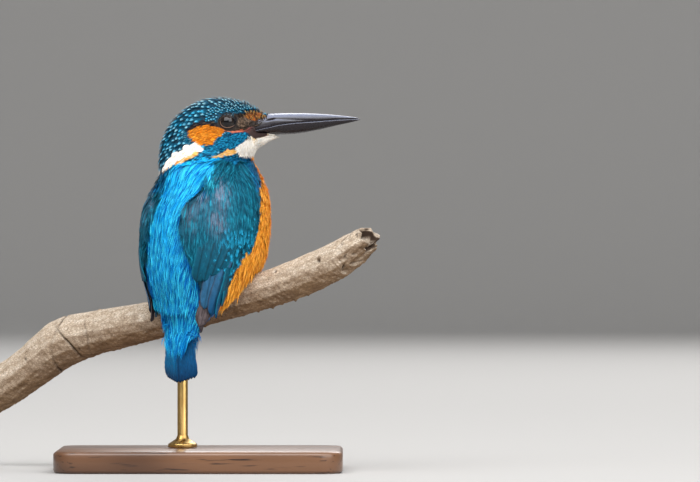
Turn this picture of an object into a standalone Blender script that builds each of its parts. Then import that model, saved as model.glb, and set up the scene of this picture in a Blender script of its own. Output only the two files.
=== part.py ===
"""A common kingfisher perched on a cut length of branch, held by a small display stand.

Metres, +Z up. The plate stands on the floor with the middle of its underside at the origin.
The bird's back is towards -Y, its trunk faces between +X and +Y, and its head is turned
over its right shoulder, so that the bill points along +X.
"""

import math

import bmesh
import bpy
import numpy as np
from mathutils import Vector

GAP = 0.0003
WELD = 1e-7
NUDGE = 0.0005
SIDES = ((1, "right"), (-1, "left"))

TRUNK_HEADING = 45.0
HEAD_HEADING = -6.0
TRUNK_AXIS = (0.0047, -0.0010)
HEAD_AXIS = (0.0040, 0.0)
CHEEK_DROP = 0.12

# One ring of the body a row, from the vent to the base of the bill: distance along the body,
# heading in degrees, hind point (forward, up), fore point (forward, up), half width.
# On the head the hind point is on the crown and the fore point on the throat.
BODY_RINGS = (
    (0.0570, 45.0, (-0.0208, 0.0570), (-0.0140, 0.0570), 0.0104),
    (0.0590, 45.0, (-0.0210, 0.0590), (-0.0128, 0.0590), 0.0112),
    (0.0651, 45.0, (-0.0223, 0.0651), (-0.0063, 0.0651), 0.0140),
    (0.0714, 45.0, (-0.0240, 0.0714), (0.0060, 0.0714), 0.0195),
    (0.0798, 45.0, (-0.0274, 0.0798), (0.0170, 0.0798), 0.0230),
    (0.0874, 45.0, (-0.0285, 0.0874), (0.0225, 0.0874), 0.0255),
    (0.0953, 45.0, (-0.0282, 0.0953), (0.0240, 0.0953), 0.0265),
    (0.1070, 45.0, (-0.0279, 0.1070), (0.0259, 0.1070), 0.0255),
    (0.1134, 45.0, (-0.0257, 0.1134), (0.0257, 0.1134), 0.0245),
    (0.1176, 45.0, (-0.0236, 0.1176), (0.0252, 0.1176), 0.0230),
    (0.1218, 45.0, (-0.0229, 0.1218), (0.0241, 0.1218), 0.0210),
    (0.1255, 30.0, (-0.0224, 0.1256), (0.0212, 0.1254), 0.0192),
    (0.1290, 12.0, (-0.0221, 0.1294), (0.0200, 0.1285), 0.0170),
    (0.1349, -6.0, (-0.0201, 0.1399), (0.0191, 0.1298), 0.0150),
    (0.1402, -6.0, (-0.0150, 0.1481), (0.0190, 0.1309), 0.0137),
    (0.1456, -6.0, (-0.0069, 0.1541), (0.0192, 0.1319), 0.0130),
    (0.1512, -6.0, (0.0031, 0.1568), (0.0197, 0.1330), 0.0120),
    (0.1539, -6.0, (0.0080, 0.1565), (0.0201, 0.1339), 0.0104),
    (0.1566, -6.0, (0.0129, 0.1554), (0.0207, 0.1349), 0.0080),
    (0.1590, -6.0, (0.0169, 0.1538), (0.0214, 0.1357), 0.0064),
    (0.1617, -6.0, (0.0205, 0.1516), (0.0230, 0.1373), 0.0053),
    (0.1648, -6.0, (0.0237, 0.1492), (0.0260, 0.1396), 0.0041),
)
TRUNK_TOP = 0.1225
NECK_TOP = 0.1349
RING_COUNT = 36
TRUNK_ROWS = 19
NECK_ROWS = 5
HEAD_ROWS = 15
# Hollow under the belly in front of the branch: forward and up, then half sizes.
LEG_ARCH_AT = (0.014, 0.072)
LEG_ARCH = (0.0110, 0.0125, 0.0105)

EYE_AT = (0.0088, 0.0094, 0.1458)
EYE_RADIUS = 0.0037
EYE_SEGMENTS = 16
EYE_RINGS = 10

# Bill stations: forward of the head's axis, half width, top edge, mouth line, bottom edge.
BILL_STATIONS = (
    (0.0160, 0.0058, 0.1476, 0.1414, 0.1404),
    (0.0200, 0.0058, 0.1486, 0.1426, 0.1410),
    (0.0237, 0.0052, 0.1492, 0.1434, 0.1411),
    (0.0290, 0.0044, 0.1495, 0.1447, 0.1410),
    (0.0367, 0.0036, 0.1496, 0.1457, 0.1414),
    (0.0450, 0.0028, 0.1494, 0.1463, 0.1427),
    (0.0530, 0.0019, 0.1489, 0.1469, 0.1445),
    (0.0590, 0.0011, 0.1482, 0.1472, 0.1459),
    (0.0630, 0.0003, 0.1475, 0.1473, 0.1470),
)
BILL_SEAM = 0.00015
BILL_ARCH = 8
BILL_ROWS = 14
BILL_ROW_BIAS = 0.85

# Wing rows: distance along the body, bearings of the fore and hind edge from straight ahead.
WING_ROWS = (
    (0.1318, 97.0, 115.0),
    (0.1302, 87.0, 126.0),
    (0.1260, 79.0, 134.0),
    (0.1180, 82.0, 143.0),
    (0.1105, 86.0, 159.0),
    (0.1040, 88.0, 160.0),
    (0.0970, 90.0, 157.0),
    (0.0900, 97.0, 152.0),
    (0.0840, 104.0, 146.0),
    (0.0775, 104.0, 139.0),
    (0.0730, 99.0, 133.0),
)
# Wing tip rows: height, fore edge (forward, out), hind edge (forward, out).
WING_TIP_ROWS = (
    (0.0685, (-0.0126, 0.0189), (-0.0207, 0.0124)),
    (0.0642, (-0.0152, 0.0174), (-0.0212, 0.0121)),
    (0.0605, (-0.0188, 0.0155), (-0.0215, 0.0124)),
    (0.0583, (-0.0204, 0.0141), (-0.0213, 0.0131)),
)
WING_SPLIT = 0.0712
# The head turns to the right and lifts that shoulder against the cheek; the left one is lower.
WING_SLOPE_FROM = 0.1040
LEFT_SHOULDER = 0.1245
WING_COLUMNS = 8
WING_STEPS = 14
WING_TIP_STEPS = 7
WING_THICKNESS = 0.0024
WING_LIFT = 0.0004
WING_REACH = 0.05
WING_RUMP_AXIS = -0.012
WING_EDGE_ROUNDING = 4.0
WING_EDGE_SHARE = 0.45
WING_TIP_BULGE = 0.0012

# Tail rows: height, forward of the trunk's axis, half width, half thickness.
TAIL_ROWS = (
    (0.0567, -0.0174, 0.0100, 0.0032),
    (0.0520, -0.0177, 0.0102, 0.0025),
    (0.0460, -0.0180, 0.0101, 0.0018),
    (0.0410, -0.0182, 0.0098, 0.0012),
    (0.0385, -0.0183, 0.0086, 0.0009),
    (0.0376, -0.0184, 0.0073, 0.0008),
    (0.0371, -0.0184, 0.0055, 0.0007),
)
TAIL_COLUMNS = 24

# Branch stations: along X, height, radius. In plan it runs straight, turned BRANCH_TURN
# towards -Y at its +X end.
BRANCH_STATIONS = (
    (-0.0950, 0.0285, 0.0092),
    (-0.0845, 0.0345, 0.0094),
    (-0.0720, 0.0430, 0.0096),
    (-0.0640, 0.0495, 0.0104),
    (-0.0585, 0.0532, 0.0108),
    (-0.0520, 0.0554, 0.0102),
    (-0.0470, 0.0568, 0.0097),
    (-0.0357, 0.0593, 0.0091),
    (-0.0231, 0.0620, 0.0084),
    (0.0021, 0.0685, 0.0080),
    (0.0286, 0.0760, 0.0080),
    (0.0445, 0.0819, 0.0083),
    (0.0550, 0.0868, 0.0080),
    (0.0650, 0.0926, 0.0073),
    (0.0708, 0.0974, 0.0057),
)
BRANCH_TURN = 25.0
BRANCH_THROUGH = (0.0040, 0.0020)
BRANCH_POINTS = 30
BRANCH_ROUNDING = 4
BRANCH_HOLLOW = (0.0040, 0.0030, 0.0040)

FOOT_SPREAD = 0.0059
TOE_RADIUS = 0.00095
TOE_LIFT = 0.0002
TOE_POINTS = 6
TOE_TAPER = (1.05, 0.82)
TARSUS_RADIUS = 0.0011
TARSUS_LENGTH = 0.0077
TARSUS_LEAN = 0.0038
# Share of the shank's length, share of its radius.
TARSUS_PROFILE = ((-0.08, 1.15), (0.25, 1.0), (0.6, 0.95), (1.0, 1.25))
# Toes: bearing round the branch where the toe ends, drift along the branch, radius share,
# position of its root along the branch.
TOES = (
    (78.0, 0.0012, 1.0, -0.0002),
    (72.0, 0.0034, 0.95, 0.0013),
    (56.0, -0.0026, 0.85, -0.0015),
    (-62.0, -0.0012, 0.95, 0.0),
)
CLAW_SWEEP = 26.0
CLAW_GAP = 3.0
CLAW_ARCH = 0.0006
CLAW_DIP = 0.0004
CLAW_RADII = (0.00062, 0.00058, 0.00046, 0.00030, 0.00010)
FOOT_BALL = 0.0015
FOOT_ROOM = 0.0034
FOOT_ROOM_REACH = 0.0045
FOOT_ROOM_POINTS = 6

BASE_SIZE = (0.120, 0.084, 0.009)
BASE_CORNER = 0.010
BASE_CORNER_STEPS = 6
BASE_RIM = 0.0012
BASE_RIM_ANGLE = 50.0
ROD_AT = -0.0075
ROD_RADIUS = 0.0022
ROD_STEPS = 24
# Radius and height of the rod's foot, from the shaft down to the plate.
ROD_FOOT_PROFILE = (
    (0.0022, 0.0052),
    (0.0028, 0.0036),
    (0.0050, 0.0022),
    (0.0062, 0.0014),
    (0.0062, 0.0),
)

BLUE = (0.02, 0.20, 0.36, 1.0)
AZURE = (0.02, 0.45, 0.75, 1.0)
TEAL = (0.03, 0.20, 0.26, 1.0)
ORANGE = (0.75, 0.25, 0.04, 1.0)
DUSK = (0.12, 0.11, 0.10, 1.0)
TAIL_BLUE = (0.01, 0.14, 0.35, 1.0)
HORN_BLACK = (0.02, 0.02, 0.025, 1.0)
EYE_BROWN = (0.012, 0.006, 0.004, 1.0)
LEG_RED = (0.62, 0.13, 0.05, 1.0)
BARK = (0.46, 0.36, 0.27, 1.0)
OAK = (0.20, 0.10, 0.05, 1.0)
BRASS = (0.70, 0.48, 0.20, 1.0)


def clear_scene():
    for obj in list(bpy.data.objects):
        bpy.data.objects.remove(obj)


def collection(name):
    made = bpy.data.collections.new(name)
    bpy.context.scene.collection.children.link(made)
    return made


def material(name, colour, roughness, metallic=0.0):
    made = bpy.data.materials.new(name)
    made.use_nodes = True
    shader = made.node_tree.nodes["Principled BSDF"]
    shader.inputs["Base Color"].default_value = colour
    shader.inputs["Roughness"].default_value = roughness
    shader.inputs["Metallic"].default_value = metallic
    made.diffuse_color = colour
    return made


def link_mesh(name, mesh, group):
    """Puts a mesh in the scene with its seams welded and its faces turned outwards."""
    body = bmesh.new()
    body.from_mesh(mesh)
    bmesh.ops.remove_doubles(body, verts=body.verts, dist=WELD)
    bmesh.ops.recalc_face_normals(body, faces=body.faces)
    body.to_mesh(mesh)
    body.free()
    made = bpy.data.objects.new(name, mesh)
    group.objects.link(made)
    return made


def mesh_object(name, verts, faces, group):
    mesh = bpy.data.meshes.new(name)
    mesh.from_pydata([tuple(v) for v in verts], [], [tuple(f) for f in faces])
    return link_mesh(name, mesh, group)


def finish(obj, look, smooth=True):
    obj.data.materials.clear()
    obj.data.materials.append(look)
    for face in obj.data.polygons:
        face.use_smooth = smooth
    return obj


def hide(obj):
    obj.hide_render = True
    obj.display_type = "WIRE"
    return obj


def boolean(obj, other, operation="DIFFERENCE"):
    change = obj.modifiers.new(operation.lower() + "_" + other.name, "BOOLEAN")
    change.operation = operation
    change.solver = "EXACT"
    change.object = other


def smooth_through(values, knots, at):
    """A smooth curve through the rows of values at their rising knots, read at each place."""
    values, knots = np.asarray(values, float), np.asarray(knots, float)
    slopes = np.gradient(values, knots, axis=0)
    at = np.clip(np.atleast_1d(at), knots[0], knots[-1])
    low = np.clip(np.searchsorted(knots, at) - 1, 0, len(knots) - 2)
    span = knots[low + 1] - knots[low]
    t = (at - knots[low]) / span
    shape = (-1,) + (1,) * (values.ndim - 1)
    t, span = t.reshape(shape), span.reshape(shape)
    return (
        values[low] * (2 * t**3 - 3 * t**2 + 1)
        + values[low + 1] * (3 * t**2 - 2 * t**3)
        + slopes[low] * span * (t**3 - 2 * t**2 + t)
        + slopes[low + 1] * span * (t**3 - t**2)
    )


def loft(name, rings, group, closed=True):
    """Quads between rings of equal length, with both ends capped when the rings are closed."""
    rings = np.asarray(rings, float)
    rows, columns = rings.shape[:2]
    index = np.arange(rows * columns).reshape(rows, columns)
    faces = []
    for row in range(rows - 1):
        for column in range(columns if closed else columns - 1):
            after = (column + 1) % columns
            faces.append(
                (index[row, column], index[row, after], index[row + 1, after], index[row + 1, column])
            )
    if closed:
        faces += [tuple(index[0]), tuple(index[-1])]
    return mesh_object(name, rings.reshape(-1, 3), faces, group)


def tube(name, points, radii, group, around=2):
    """A bevelled curve with filled caps, turned into a mesh."""
    curve = bpy.data.curves.new(name + "_path", "CURVE")
    curve.dimensions = "3D"
    curve.bevel_depth = 1.0
    curve.bevel_resolution = around
    curve.use_fill_caps = True
    spline = curve.splines.new("POLY")
    spline.points.add(len(points) - 1)
    for knot, point, radius in zip(spline.points, points, radii):
        knot.co = (*point, 1.0)
        knot.radius = radius
    path = bpy.data.objects.new(name + "_path", curve)
    group.objects.link(path)
    bpy.context.view_layer.update()
    graph = bpy.context.evaluated_depsgraph_get()
    mesh = bpy.data.meshes.new_from_object(path.evaluated_get(graph))
    mesh.transform(path.matrix_world)
    bpy.data.objects.remove(path)
    return link_mesh(name, mesh, group)


def heading_vectors(degrees):
    """Unit vectors straight ahead and to the bird's right."""
    turn = math.radians(degrees)
    ahead = np.array((math.cos(turn), math.sin(turn), 0.0))
    return ahead, np.array((ahead[1], -ahead[0], 0.0))


def axis_at(degrees):
    """The upright axis that a ring of this heading is measured from."""
    share = (degrees - HEAD_HEADING) / (TRUNK_HEADING - HEAD_HEADING)
    head, trunk = np.array((*HEAD_AXIS, 0.0)), np.array((*TRUNK_AXIS, 0.0))
    return head + (trunk - head) * share


def ring_points(ring, bearings):
    """Points of one body ring, by bearing from the throat round by the bird's right side."""
    _, degrees, hind, fore, half_width = ring
    ahead, right = heading_vectors(degrees)
    up = np.array((0.0, 0.0, 1.0))
    axis = axis_at(degrees)
    hind_at = axis + ahead * hind[0] + up * hind[1]
    fore_at = axis + ahead * fore[0] + up * fore[1]
    middle, half = (hind_at + fore_at) / 2, (fore_at - hind_at) / 2
    turn = np.asarray(bearings) + math.radians(degrees - HEAD_HEADING)
    share = (TRUNK_HEADING - degrees) / (TRUNK_HEADING - HEAD_HEADING)
    drop = CHEEK_DROP * share * np.sin(turn) ** 2
    return (
        middle
        + np.outer(np.cos(turn) + drop, half)
        + np.outer(np.sin(turn) * half_width, right)
    )


def body_surface(distances, bearings):
    """Grid of points on the plumage's outside, a row for each distance along the body."""
    keys = np.array([ring_points(ring, bearings) for ring in BODY_RINGS])
    return smooth_through(keys, [ring[0] for ring in BODY_RINGS], distances)


def body_segment(name, low, high, rows, group):
    bearings = np.linspace(0, 2 * math.pi, RING_COUNT, endpoint=False)
    return loft(name, body_surface(np.linspace(low, high, rows), bearings), group)


def bird_point(forward, out, height):
    ahead, right = heading_vectors(TRUNK_HEADING)
    base = axis_at(TRUNK_HEADING) + ahead * forward + right * out
    return np.array((base[0], base[1], height))


def head_point(forward, out, height):
    ahead, right = heading_vectors(HEAD_HEADING)
    base = axis_at(HEAD_HEADING) + ahead * forward + right * out
    return np.array((base[0], base[1], height))


def ball(name, centre, radii, group, segments, rings, heading=0.0):
    """A ball or egg, its first half size lying along the heading."""
    body = bmesh.new()
    bmesh.ops.create_uvsphere(body, u_segments=segments, v_segments=rings, radius=1.0)
    ahead, right = heading_vectors(heading)
    for vert in body.verts:
        local = np.array(vert.co) * np.array(radii)
        vert.co = centre + ahead * local[0] - right * local[1] + np.array((0, 0, local[2]))
    mesh = bpy.data.meshes.new(name)
    body.to_mesh(mesh)
    body.free()
    return link_mesh(name, mesh, group)


def bill_section(station, margin, part):
    """One outline across the bill: its upper or lower half, or the whole with a margin."""
    forward, half_width, top, mouth, bottom = station
    half_width += margin
    turns = np.linspace(-math.pi / 2, math.pi / 2, BILL_ARCH + 1)
    across, rise = half_width * np.sin(turns), np.cos(turns)
    over = mouth + BILL_SEAM + (top + margin - mouth - BILL_SEAM) * rise
    under = mouth - BILL_SEAM - (mouth - BILL_SEAM - bottom + margin) * rise
    upper = [head_point(forward, out, z) for out, z in zip(across, over)]
    lower = [head_point(forward, out, z) for out, z in zip(across, under)]
    if part == "upper":
        return upper
    if part == "lower":
        return lower
    return upper[:-1] + lower[:0:-1]


def bill(name, part, group, margin=0.0):
    """The upper or lower half of the bill, or the room that both take up."""
    table = np.array(BILL_STATIONS)
    places = np.linspace(0, 1, BILL_ROWS) ** BILL_ROW_BIAS
    places = table[0, 0] + (table[-1, 0] - table[0, 0]) * places
    stations = smooth_through(table, table[:, 0], places)
    return loft(name, [bill_section(row, margin, part) for row in stations], group)


def eye(name, side, group, margin=0.0):
    forward, out, height = EYE_AT
    centre = head_point(forward, out * side, height)
    radius = EYE_RADIUS + margin
    return ball(name, centre, (radius,) * 3, group, EYE_SEGMENTS, EYE_RINGS, HEAD_HEADING)


def shoulder_height(distance, side):
    """Place along the body of a wing row, drawn down on the left shoulder."""
    if side > 0 or distance < WING_SLOPE_FROM:
        return distance
    share = (distance - WING_SLOPE_FROM) / (WING_ROWS[0][0] - WING_SLOPE_FROM)
    return WING_SLOPE_FROM + (LEFT_SHOULDER - WING_SLOPE_FROM) * share


def wing_row_on_body(distance, side):
    """Points from the fore edge to the hind edge of the wing, just off the plumage below."""
    table = np.array(WING_ROWS)[::-1]
    fore, hind = smooth_through(table[:, 1:], table[:, 0], distance)[0]
    distance = shoulder_height(distance, side)
    share = np.linspace(0, 1, WING_COLUMNS)
    turn = TRUNK_HEADING - HEAD_HEADING
    bearings = np.radians((fore + (hind - fore) * share) * side - turn)
    row = body_surface([distance], bearings)[0]
    ahead = body_surface([distance], bearings + NUDGE / WING_REACH)[0] - row
    rise = body_surface([distance + NUDGE], bearings)[0] - row
    outward = np.cross(rise, ahead)
    outward /= np.linalg.norm(outward, axis=1)[:, None]
    return row + outward * WING_LIFT


def wing_tip_row(height, fore, hind, side):
    """One row of the free wing tip, bulging a little outwards between its edges."""
    share = np.linspace(0, 1, WING_COLUMNS)
    start, end = bird_point(*fore, height), bird_point(*hind, height)
    row = start + np.outer(share, end - start)
    outward = row - bird_point(WING_RUMP_AXIS, 0.0, height)
    outward /= np.linalg.norm(outward, axis=1)[:, None]
    reach = (height - WING_TIP_ROWS[-1][0]) / (WING_ROWS[-1][0] - WING_TIP_ROWS[-1][0])
    row = row + outward * (WING_TIP_BULGE * reach * np.sin(np.pi * share))[:, None]
    return mirrored(row) if side < 0 else row


def mirrored(points):
    """The points on the other side of the trunk's own middle plane."""
    _, right = heading_vectors(TRUNK_HEADING)
    out = (points - axis_at(TRUNK_HEADING)) @ right
    return points - 2 * np.outer(out, right)


def wing_grid(side, heights):
    """Rows of the wing's inner face at these distances along the body."""
    root = WING_ROWS[-1][0]
    keys = [wing_tip_row(*row, side) for row in WING_TIP_ROWS[::-1]]
    knots = [row[0] for row in WING_TIP_ROWS[::-1]]
    for row in WING_ROWS[:-4:-1]:
        keys.append(wing_row_on_body(row[0], side))
        knots.append(row[0])
    free = smooth_through(keys, knots, heights)
    return np.array(
        [wing_row_on_body(h, side) if h > root else row for h, row in zip(heights, free)]
    )


def wing_piece(name, side, low, high, rows, group):
    """A stretch of the folded wing, thickened outwards and thinner towards its edges."""
    spacing = np.linspace(0, 1, rows)
    if low > WING_SPLIT:
        spacing = np.sin(spacing * math.pi / 2)
    grid = wing_grid(side, low + (high - low) * spacing)
    made = loft(name, grid, group, closed=False)
    orient_outwards(made, bird_point(WING_RUMP_AXIS, 0.0, (low + high) / 2))
    thickness = made.vertex_groups.new(name="thickness")
    for index, weight in enumerate(edge_weights(rows, WING_COLUMNS, low < WING_SPLIT)):
        thickness.add([index], float(weight), "REPLACE")
    shell = made.modifiers.new("shell", "SOLIDIFY")
    shell.thickness = WING_THICKNESS
    shell.offset = 1.0
    shell.vertex_group = thickness.name
    shell.use_even_offset = False
    return made


def orient_outwards(obj, middle):
    body = bmesh.new()
    body.from_mesh(obj.data)
    outward = sum(
        face.normal.dot(face.calc_center_median() - Vector(middle)) * face.calc_area()
        for face in body.faces
    )
    if outward < 0:
        bmesh.ops.reverse_faces(body, faces=body.faces)
    body.to_mesh(obj.data)
    body.free()


def edge_weights(rows, columns, at_tip):
    """Share of the full thickness at each point of a wing grid, least along its free edges."""
    across = np.sin(np.pi * np.linspace(0.0, 1.0, columns))
    along = np.linspace(0.0, 1.0, rows)
    along = np.clip((along if at_tip else 1 - along) * WING_EDGE_ROUNDING, 0, 1)
    share = np.outer(np.sqrt(np.sin(along * np.pi / 2)), np.sqrt(across))
    return (WING_EDGE_SHARE + (1 - WING_EDGE_SHARE) * share).ravel()


def tail(name, group):
    turns = np.linspace(0, 2 * math.pi, TAIL_COLUMNS, endpoint=False)
    rings = []
    for height, forward, half_width, half_thickness in TAIL_ROWS:
        rings.append(
            [
                bird_point(
                    forward + half_thickness * math.cos(turn),
                    half_width * math.sin(turn),
                    height,
                )
                for turn in turns
            ]
        )
    return loft(name, rings, group)


def branch_centre(distance):
    """Point on the branch's middle line at this X, and the radius there."""
    table = np.array(BRANCH_STATIONS)
    height, radius = smooth_through(table[:, 1:], table[:, 0], distance)[0]
    slope = -math.tan(math.radians(BRANCH_TURN))
    side = BRANCH_THROUGH[1] + (distance - BRANCH_THROUGH[0]) * slope
    return np.array((distance, side, height)), radius


def branch_frame(distance):
    """Centre, radius, and unit vectors along the branch, up across it and towards +Y."""
    centre, radius = branch_centre(distance)
    along = branch_centre(distance + NUDGE)[0] - branch_centre(distance - NUDGE)[0]
    along /= np.linalg.norm(along)
    far = np.cross((0.0, 0.0, 1.0), along)
    far /= np.linalg.norm(far)
    return centre, radius, along, np.cross(along, far), far


def branch_stretch(name, ends, count, margin, group):
    """A length of the branch, or of the room round it, between two places along X."""
    points, radii = zip(*[branch_centre(x) for x in np.linspace(*ends, count)])
    return tube(name, points, [radius + margin for radius in radii], group, BRANCH_ROUNDING)


def branch(name, group, margin=0.0):
    ends = BRANCH_STATIONS[0][0], BRANCH_STATIONS[-1][0]
    return branch_stretch(name, ends, BRANCH_POINTS, margin, group)


def on_branch(distance, bearing, lift):
    """Point off the branch's bark, at a bearing from its top towards +Y."""
    centre, radius, _, up, far = branch_frame(distance)
    turn = math.radians(bearing)
    return centre + (radius + lift) * (up * math.cos(turn) + far * math.sin(turn))


def foot_place(side):
    """Distance along X at which this side's foot grips."""
    _, right = heading_vectors(TRUNK_HEADING)
    offset = branch_centre(BRANCH_THROUGH[0])[0] - axis_at(TRUNK_HEADING)
    along = np.array((1.0, -math.tan(math.radians(BRANCH_TURN)), 0.0))
    middle = BRANCH_THROUGH[0] - offset @ right / (along @ right)
    return middle + side * FOOT_SPREAD * math.cos(math.radians(BRANCH_TURN))


def foot_root(side):
    """Middle of the ball of the foot, on top of the branch."""
    return on_branch(foot_place(side), 0.0, FOOT_BALL + TOE_LIFT)


def toe_path(side, toe):
    """Points along a toe that wraps over the bark."""
    sweep, drift, _, root = toe
    points = []
    for share in np.linspace(0.0, 1.0, TOE_POINTS):
        along = root * min(1.0, share * (TOE_POINTS - 1)) + drift * share
        points.append(on_branch(foot_place(side) + side * along, sweep * share, TOE_RADIUS + TOE_LIFT))
    return points


def shank(name, side, group, margin=0.0):
    """Short upright shank from the foot into the belly, leaning back."""
    rise = bird_point(-TARSUS_LEAN, 0, TARSUS_LENGTH) - bird_point(0, 0, 0)
    points = [foot_root(side) + rise * share for share, _ in TARSUS_PROFILE]
    widths = [TARSUS_RADIUS * width + margin for _, width in TARSUS_PROFILE]
    return tube(name, points, widths, group)


def leg(name, side, parts, cutters):
    """Shank and four toes joined into one foot that holds the branch."""
    made = shank(name, side, parts)
    knuckle = ball(name + "_ball", foot_root(side), (FOOT_BALL,) * 3, cutters, 10, 6)
    boolean(made, hide(knuckle), "UNION")
    for number, toe in enumerate(TOES):
        points = toe_path(side, toe)
        taper = np.linspace(*TOE_TAPER, len(points)) * TOE_RADIUS * toe[2]
        piece = tube(f"{name}_toe_{number}", points, taper, cutters, 1)
        boolean(made, hide(piece), "UNION")
    return made


def foot_room(name, group):
    """Sleeve round the branch that keeps the belly clear of both feet."""
    reach = np.array((-FOOT_ROOM_REACH, FOOT_ROOM_REACH))
    ends = np.array((foot_place(-1), foot_place(1))) + reach
    return branch_stretch(name, ends, FOOT_ROOM_POINTS, FOOT_ROOM, group)


def claw(name, side, toe, group):
    """Small curved horn that starts just past the end of its toe."""
    sweep = toe[0]
    sign = math.copysign(1.0, sweep)
    place = foot_place(side) + side * (toe[3] + toe[1])
    points = []
    for share in np.linspace(0.0, 1.0, len(CLAW_RADII)):
        bearing = sweep + sign * (CLAW_GAP + CLAW_SWEEP * share)
        lift = TOE_RADIUS + TOE_LIFT + CLAW_ARCH * math.sin(math.pi * share) - CLAW_DIP * share
        points.append(on_branch(place, bearing, lift))
    return tube(name, points, CLAW_RADII, group, 1)


def stand_base(name, group):
    body = bmesh.new()
    bmesh.ops.create_cube(body, size=1.0)
    for vert in body.verts:
        vert.co = [a * b for a, b in zip(vert.co, BASE_SIZE)]
        vert.co.z += BASE_SIZE[2] / 2
    corners = [e for e in body.edges if abs(e.verts[0].co.z - e.verts[1].co.z) > GAP]
    bmesh.ops.bevel(
        body, geom=corners, offset=BASE_CORNER, segments=BASE_CORNER_STEPS, profile=0.5, affect="EDGES"
    )
    mesh = bpy.data.meshes.new(name)
    body.to_mesh(mesh)
    body.free()
    made = link_mesh(name, mesh, group)
    rim = made.modifiers.new("rim", "BEVEL")
    rim.width = BASE_RIM
    rim.segments = 2
    rim.limit_method = "ANGLE"
    rim.angle_limit = math.radians(BASE_RIM_ANGLE)
    return made


def stand_rod(name, group, cutter):
    """Turned rod with a spreading foot, its top cut to the branch it carries."""
    centre, _ = branch_centre(ROD_AT)
    foot = BASE_SIZE[2] + GAP
    top = centre[2]
    points = [(0.0, 0.0, top), (ROD_RADIUS, 0.0, top)]
    points += [(radius, 0.0, foot + rise) for radius, rise in ROD_FOOT_PROFILE]
    points.append((0.0, 0.0, foot))
    mesh = bpy.data.meshes.new(name)
    mesh.from_pydata(points, [(i, i + 1) for i in range(len(points) - 1)], [])
    made = bpy.data.objects.new(name, mesh)
    group.objects.link(made)
    made.location = (centre[0], centre[1], 0.0)
    turned = made.modifiers.new("turned", "SCREW")
    turned.steps = turned.render_steps = ROD_STEPS
    turned.use_merge_vertices = True
    turned.merge_threshold = WELD
    boolean(made, cutter)
    return made


def make_perch(parts, cutters):
    """The branch with its broken, hollow end, and the room that other pieces leave for it."""
    perch = finish(branch("perch_branch", parts), material("branch_bark", BARK, 0.9))
    hollow_at = branch_centre(BRANCH_STATIONS[-1][0])[0]
    boolean(perch, hide(ball("hollow_space", hollow_at, BRANCH_HOLLOW, cutters, 12, 8)))
    return hide(branch("branch_space", cutters, GAP))


def make_head(parts, cutters):
    """Head, neck, both halves of the bill and both eyes."""
    horn = material("bill_horn", HORN_BLACK, 0.35)
    wet = material("eye_brown", EYE_BROWN, 0.05)
    head = body_segment("head", NECK_TOP + GAP, BODY_RINGS[-1][0], HEAD_ROWS, parts)
    finish(head, material("crown_blue", BLUE, 0.6))
    boolean(head, hide(bill("bill_space", "whole", cutters, GAP)))
    for side, word in SIDES:
        finish(eye("eye_" + word, side, parts), wet)
        boolean(head, hide(eye("socket_" + word, side, cutters, GAP)))
    neck = body_segment("neck", TRUNK_TOP + GAP / 2, NECK_TOP - GAP, NECK_ROWS, parts)
    finish(neck, material("mantle_azure", AZURE, 0.55))
    finish(bill("bill_upper", "upper", parts), horn)
    finish(bill("bill_lower", "lower", parts), horn)


def make_trunk(parts, cutters, branch_space):
    """Trunk hollowed for the branch, the feet and both shanks, and the tail below it."""
    trunk = body_segment("trunk", BODY_RINGS[0][0], TRUNK_TOP - GAP / 2, TRUNK_ROWS, parts)
    finish(trunk, material("breast_orange", ORANGE, 0.8))
    boolean(trunk, branch_space)
    arch_at = bird_point(LEG_ARCH_AT[0], 0.0, LEG_ARCH_AT[1])
    boolean(trunk, hide(ball("leg_arch", arch_at, LEG_ARCH, cutters, 16, 10, TRUNK_HEADING)))
    boolean(trunk, hide(foot_room("foot_room", cutters)))
    for side, word in SIDES:
        boolean(trunk, hide(shank("shank_space_" + word, side, cutters, GAP)))
    finish(tail("tail", parts), material("tail_blue", TAIL_BLUE, 0.6))


def make_wings(parts, branch_space):
    """Both folded wings, each with its free tip apart."""
    teal = material("wing_teal", TEAL, 0.6)
    dusk = material("primary_dusk", DUSK, 0.7)
    top, tip = WING_ROWS[0][0], WING_TIP_ROWS[-1][0]
    for side, word in SIDES:
        wing = wing_piece("wing_" + word, side, WING_SPLIT + GAP, top, WING_STEPS, parts)
        primaries = wing_piece("primaries_" + word, side, tip, WING_SPLIT, WING_TIP_STEPS, parts)
        boolean(finish(wing, teal), branch_space)
        boolean(finish(primaries, dusk), branch_space)


def make_feet(parts, cutters):
    red = material("leg_red", LEG_RED, 0.6)
    horn = material("claw_horn", HORN_BLACK, 0.35)
    for side, word in SIDES:
        finish(leg("leg_" + word, side, parts, cutters), red)
        for number, toe in enumerate(TOES, 1):
            finish(claw(f"claw_{word}_{number}", side, toe, parts), horn)


def make_stand(parts, branch_space):
    finish(stand_base("stand_base", parts), material("stand_oak", OAK, 0.5), smooth=False)
    rod = stand_rod("stand_rod", parts, branch_space)
    finish(rod, material("stand_brass", BRASS, 0.3, 1.0))


def main():
    clear_scene()
    parts = collection("kingfisher")
    cutters = collection("cutters")
    cutters.hide_render = True
    branch_space = make_perch(parts, cutters)
    make_head(parts, cutters)
    make_trunk(parts, cutters, branch_space)
    make_wings(parts, branch_space)
    make_feet(parts, cutters)
    make_stand(parts, branch_space)


main()
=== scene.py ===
"""Dresses a common kingfisher on its perch: skin, plumage, bill, eyes, feet, bark and stand.

Metres, +Z up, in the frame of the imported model. Outlines on the head are measured forward and
up from the eye, and places on the trunk by bearing from straight ahead and height.
"""

import math

import bmesh
import bpy
import numpy as np
from bpy.props import FloatProperty, FloatVectorProperty, IntProperty, PointerProperty
from bpy.types import Operator, Panel, PropertyGroup
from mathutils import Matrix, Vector, kdtree
from mathutils.bvhtree import BVHTree


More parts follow.
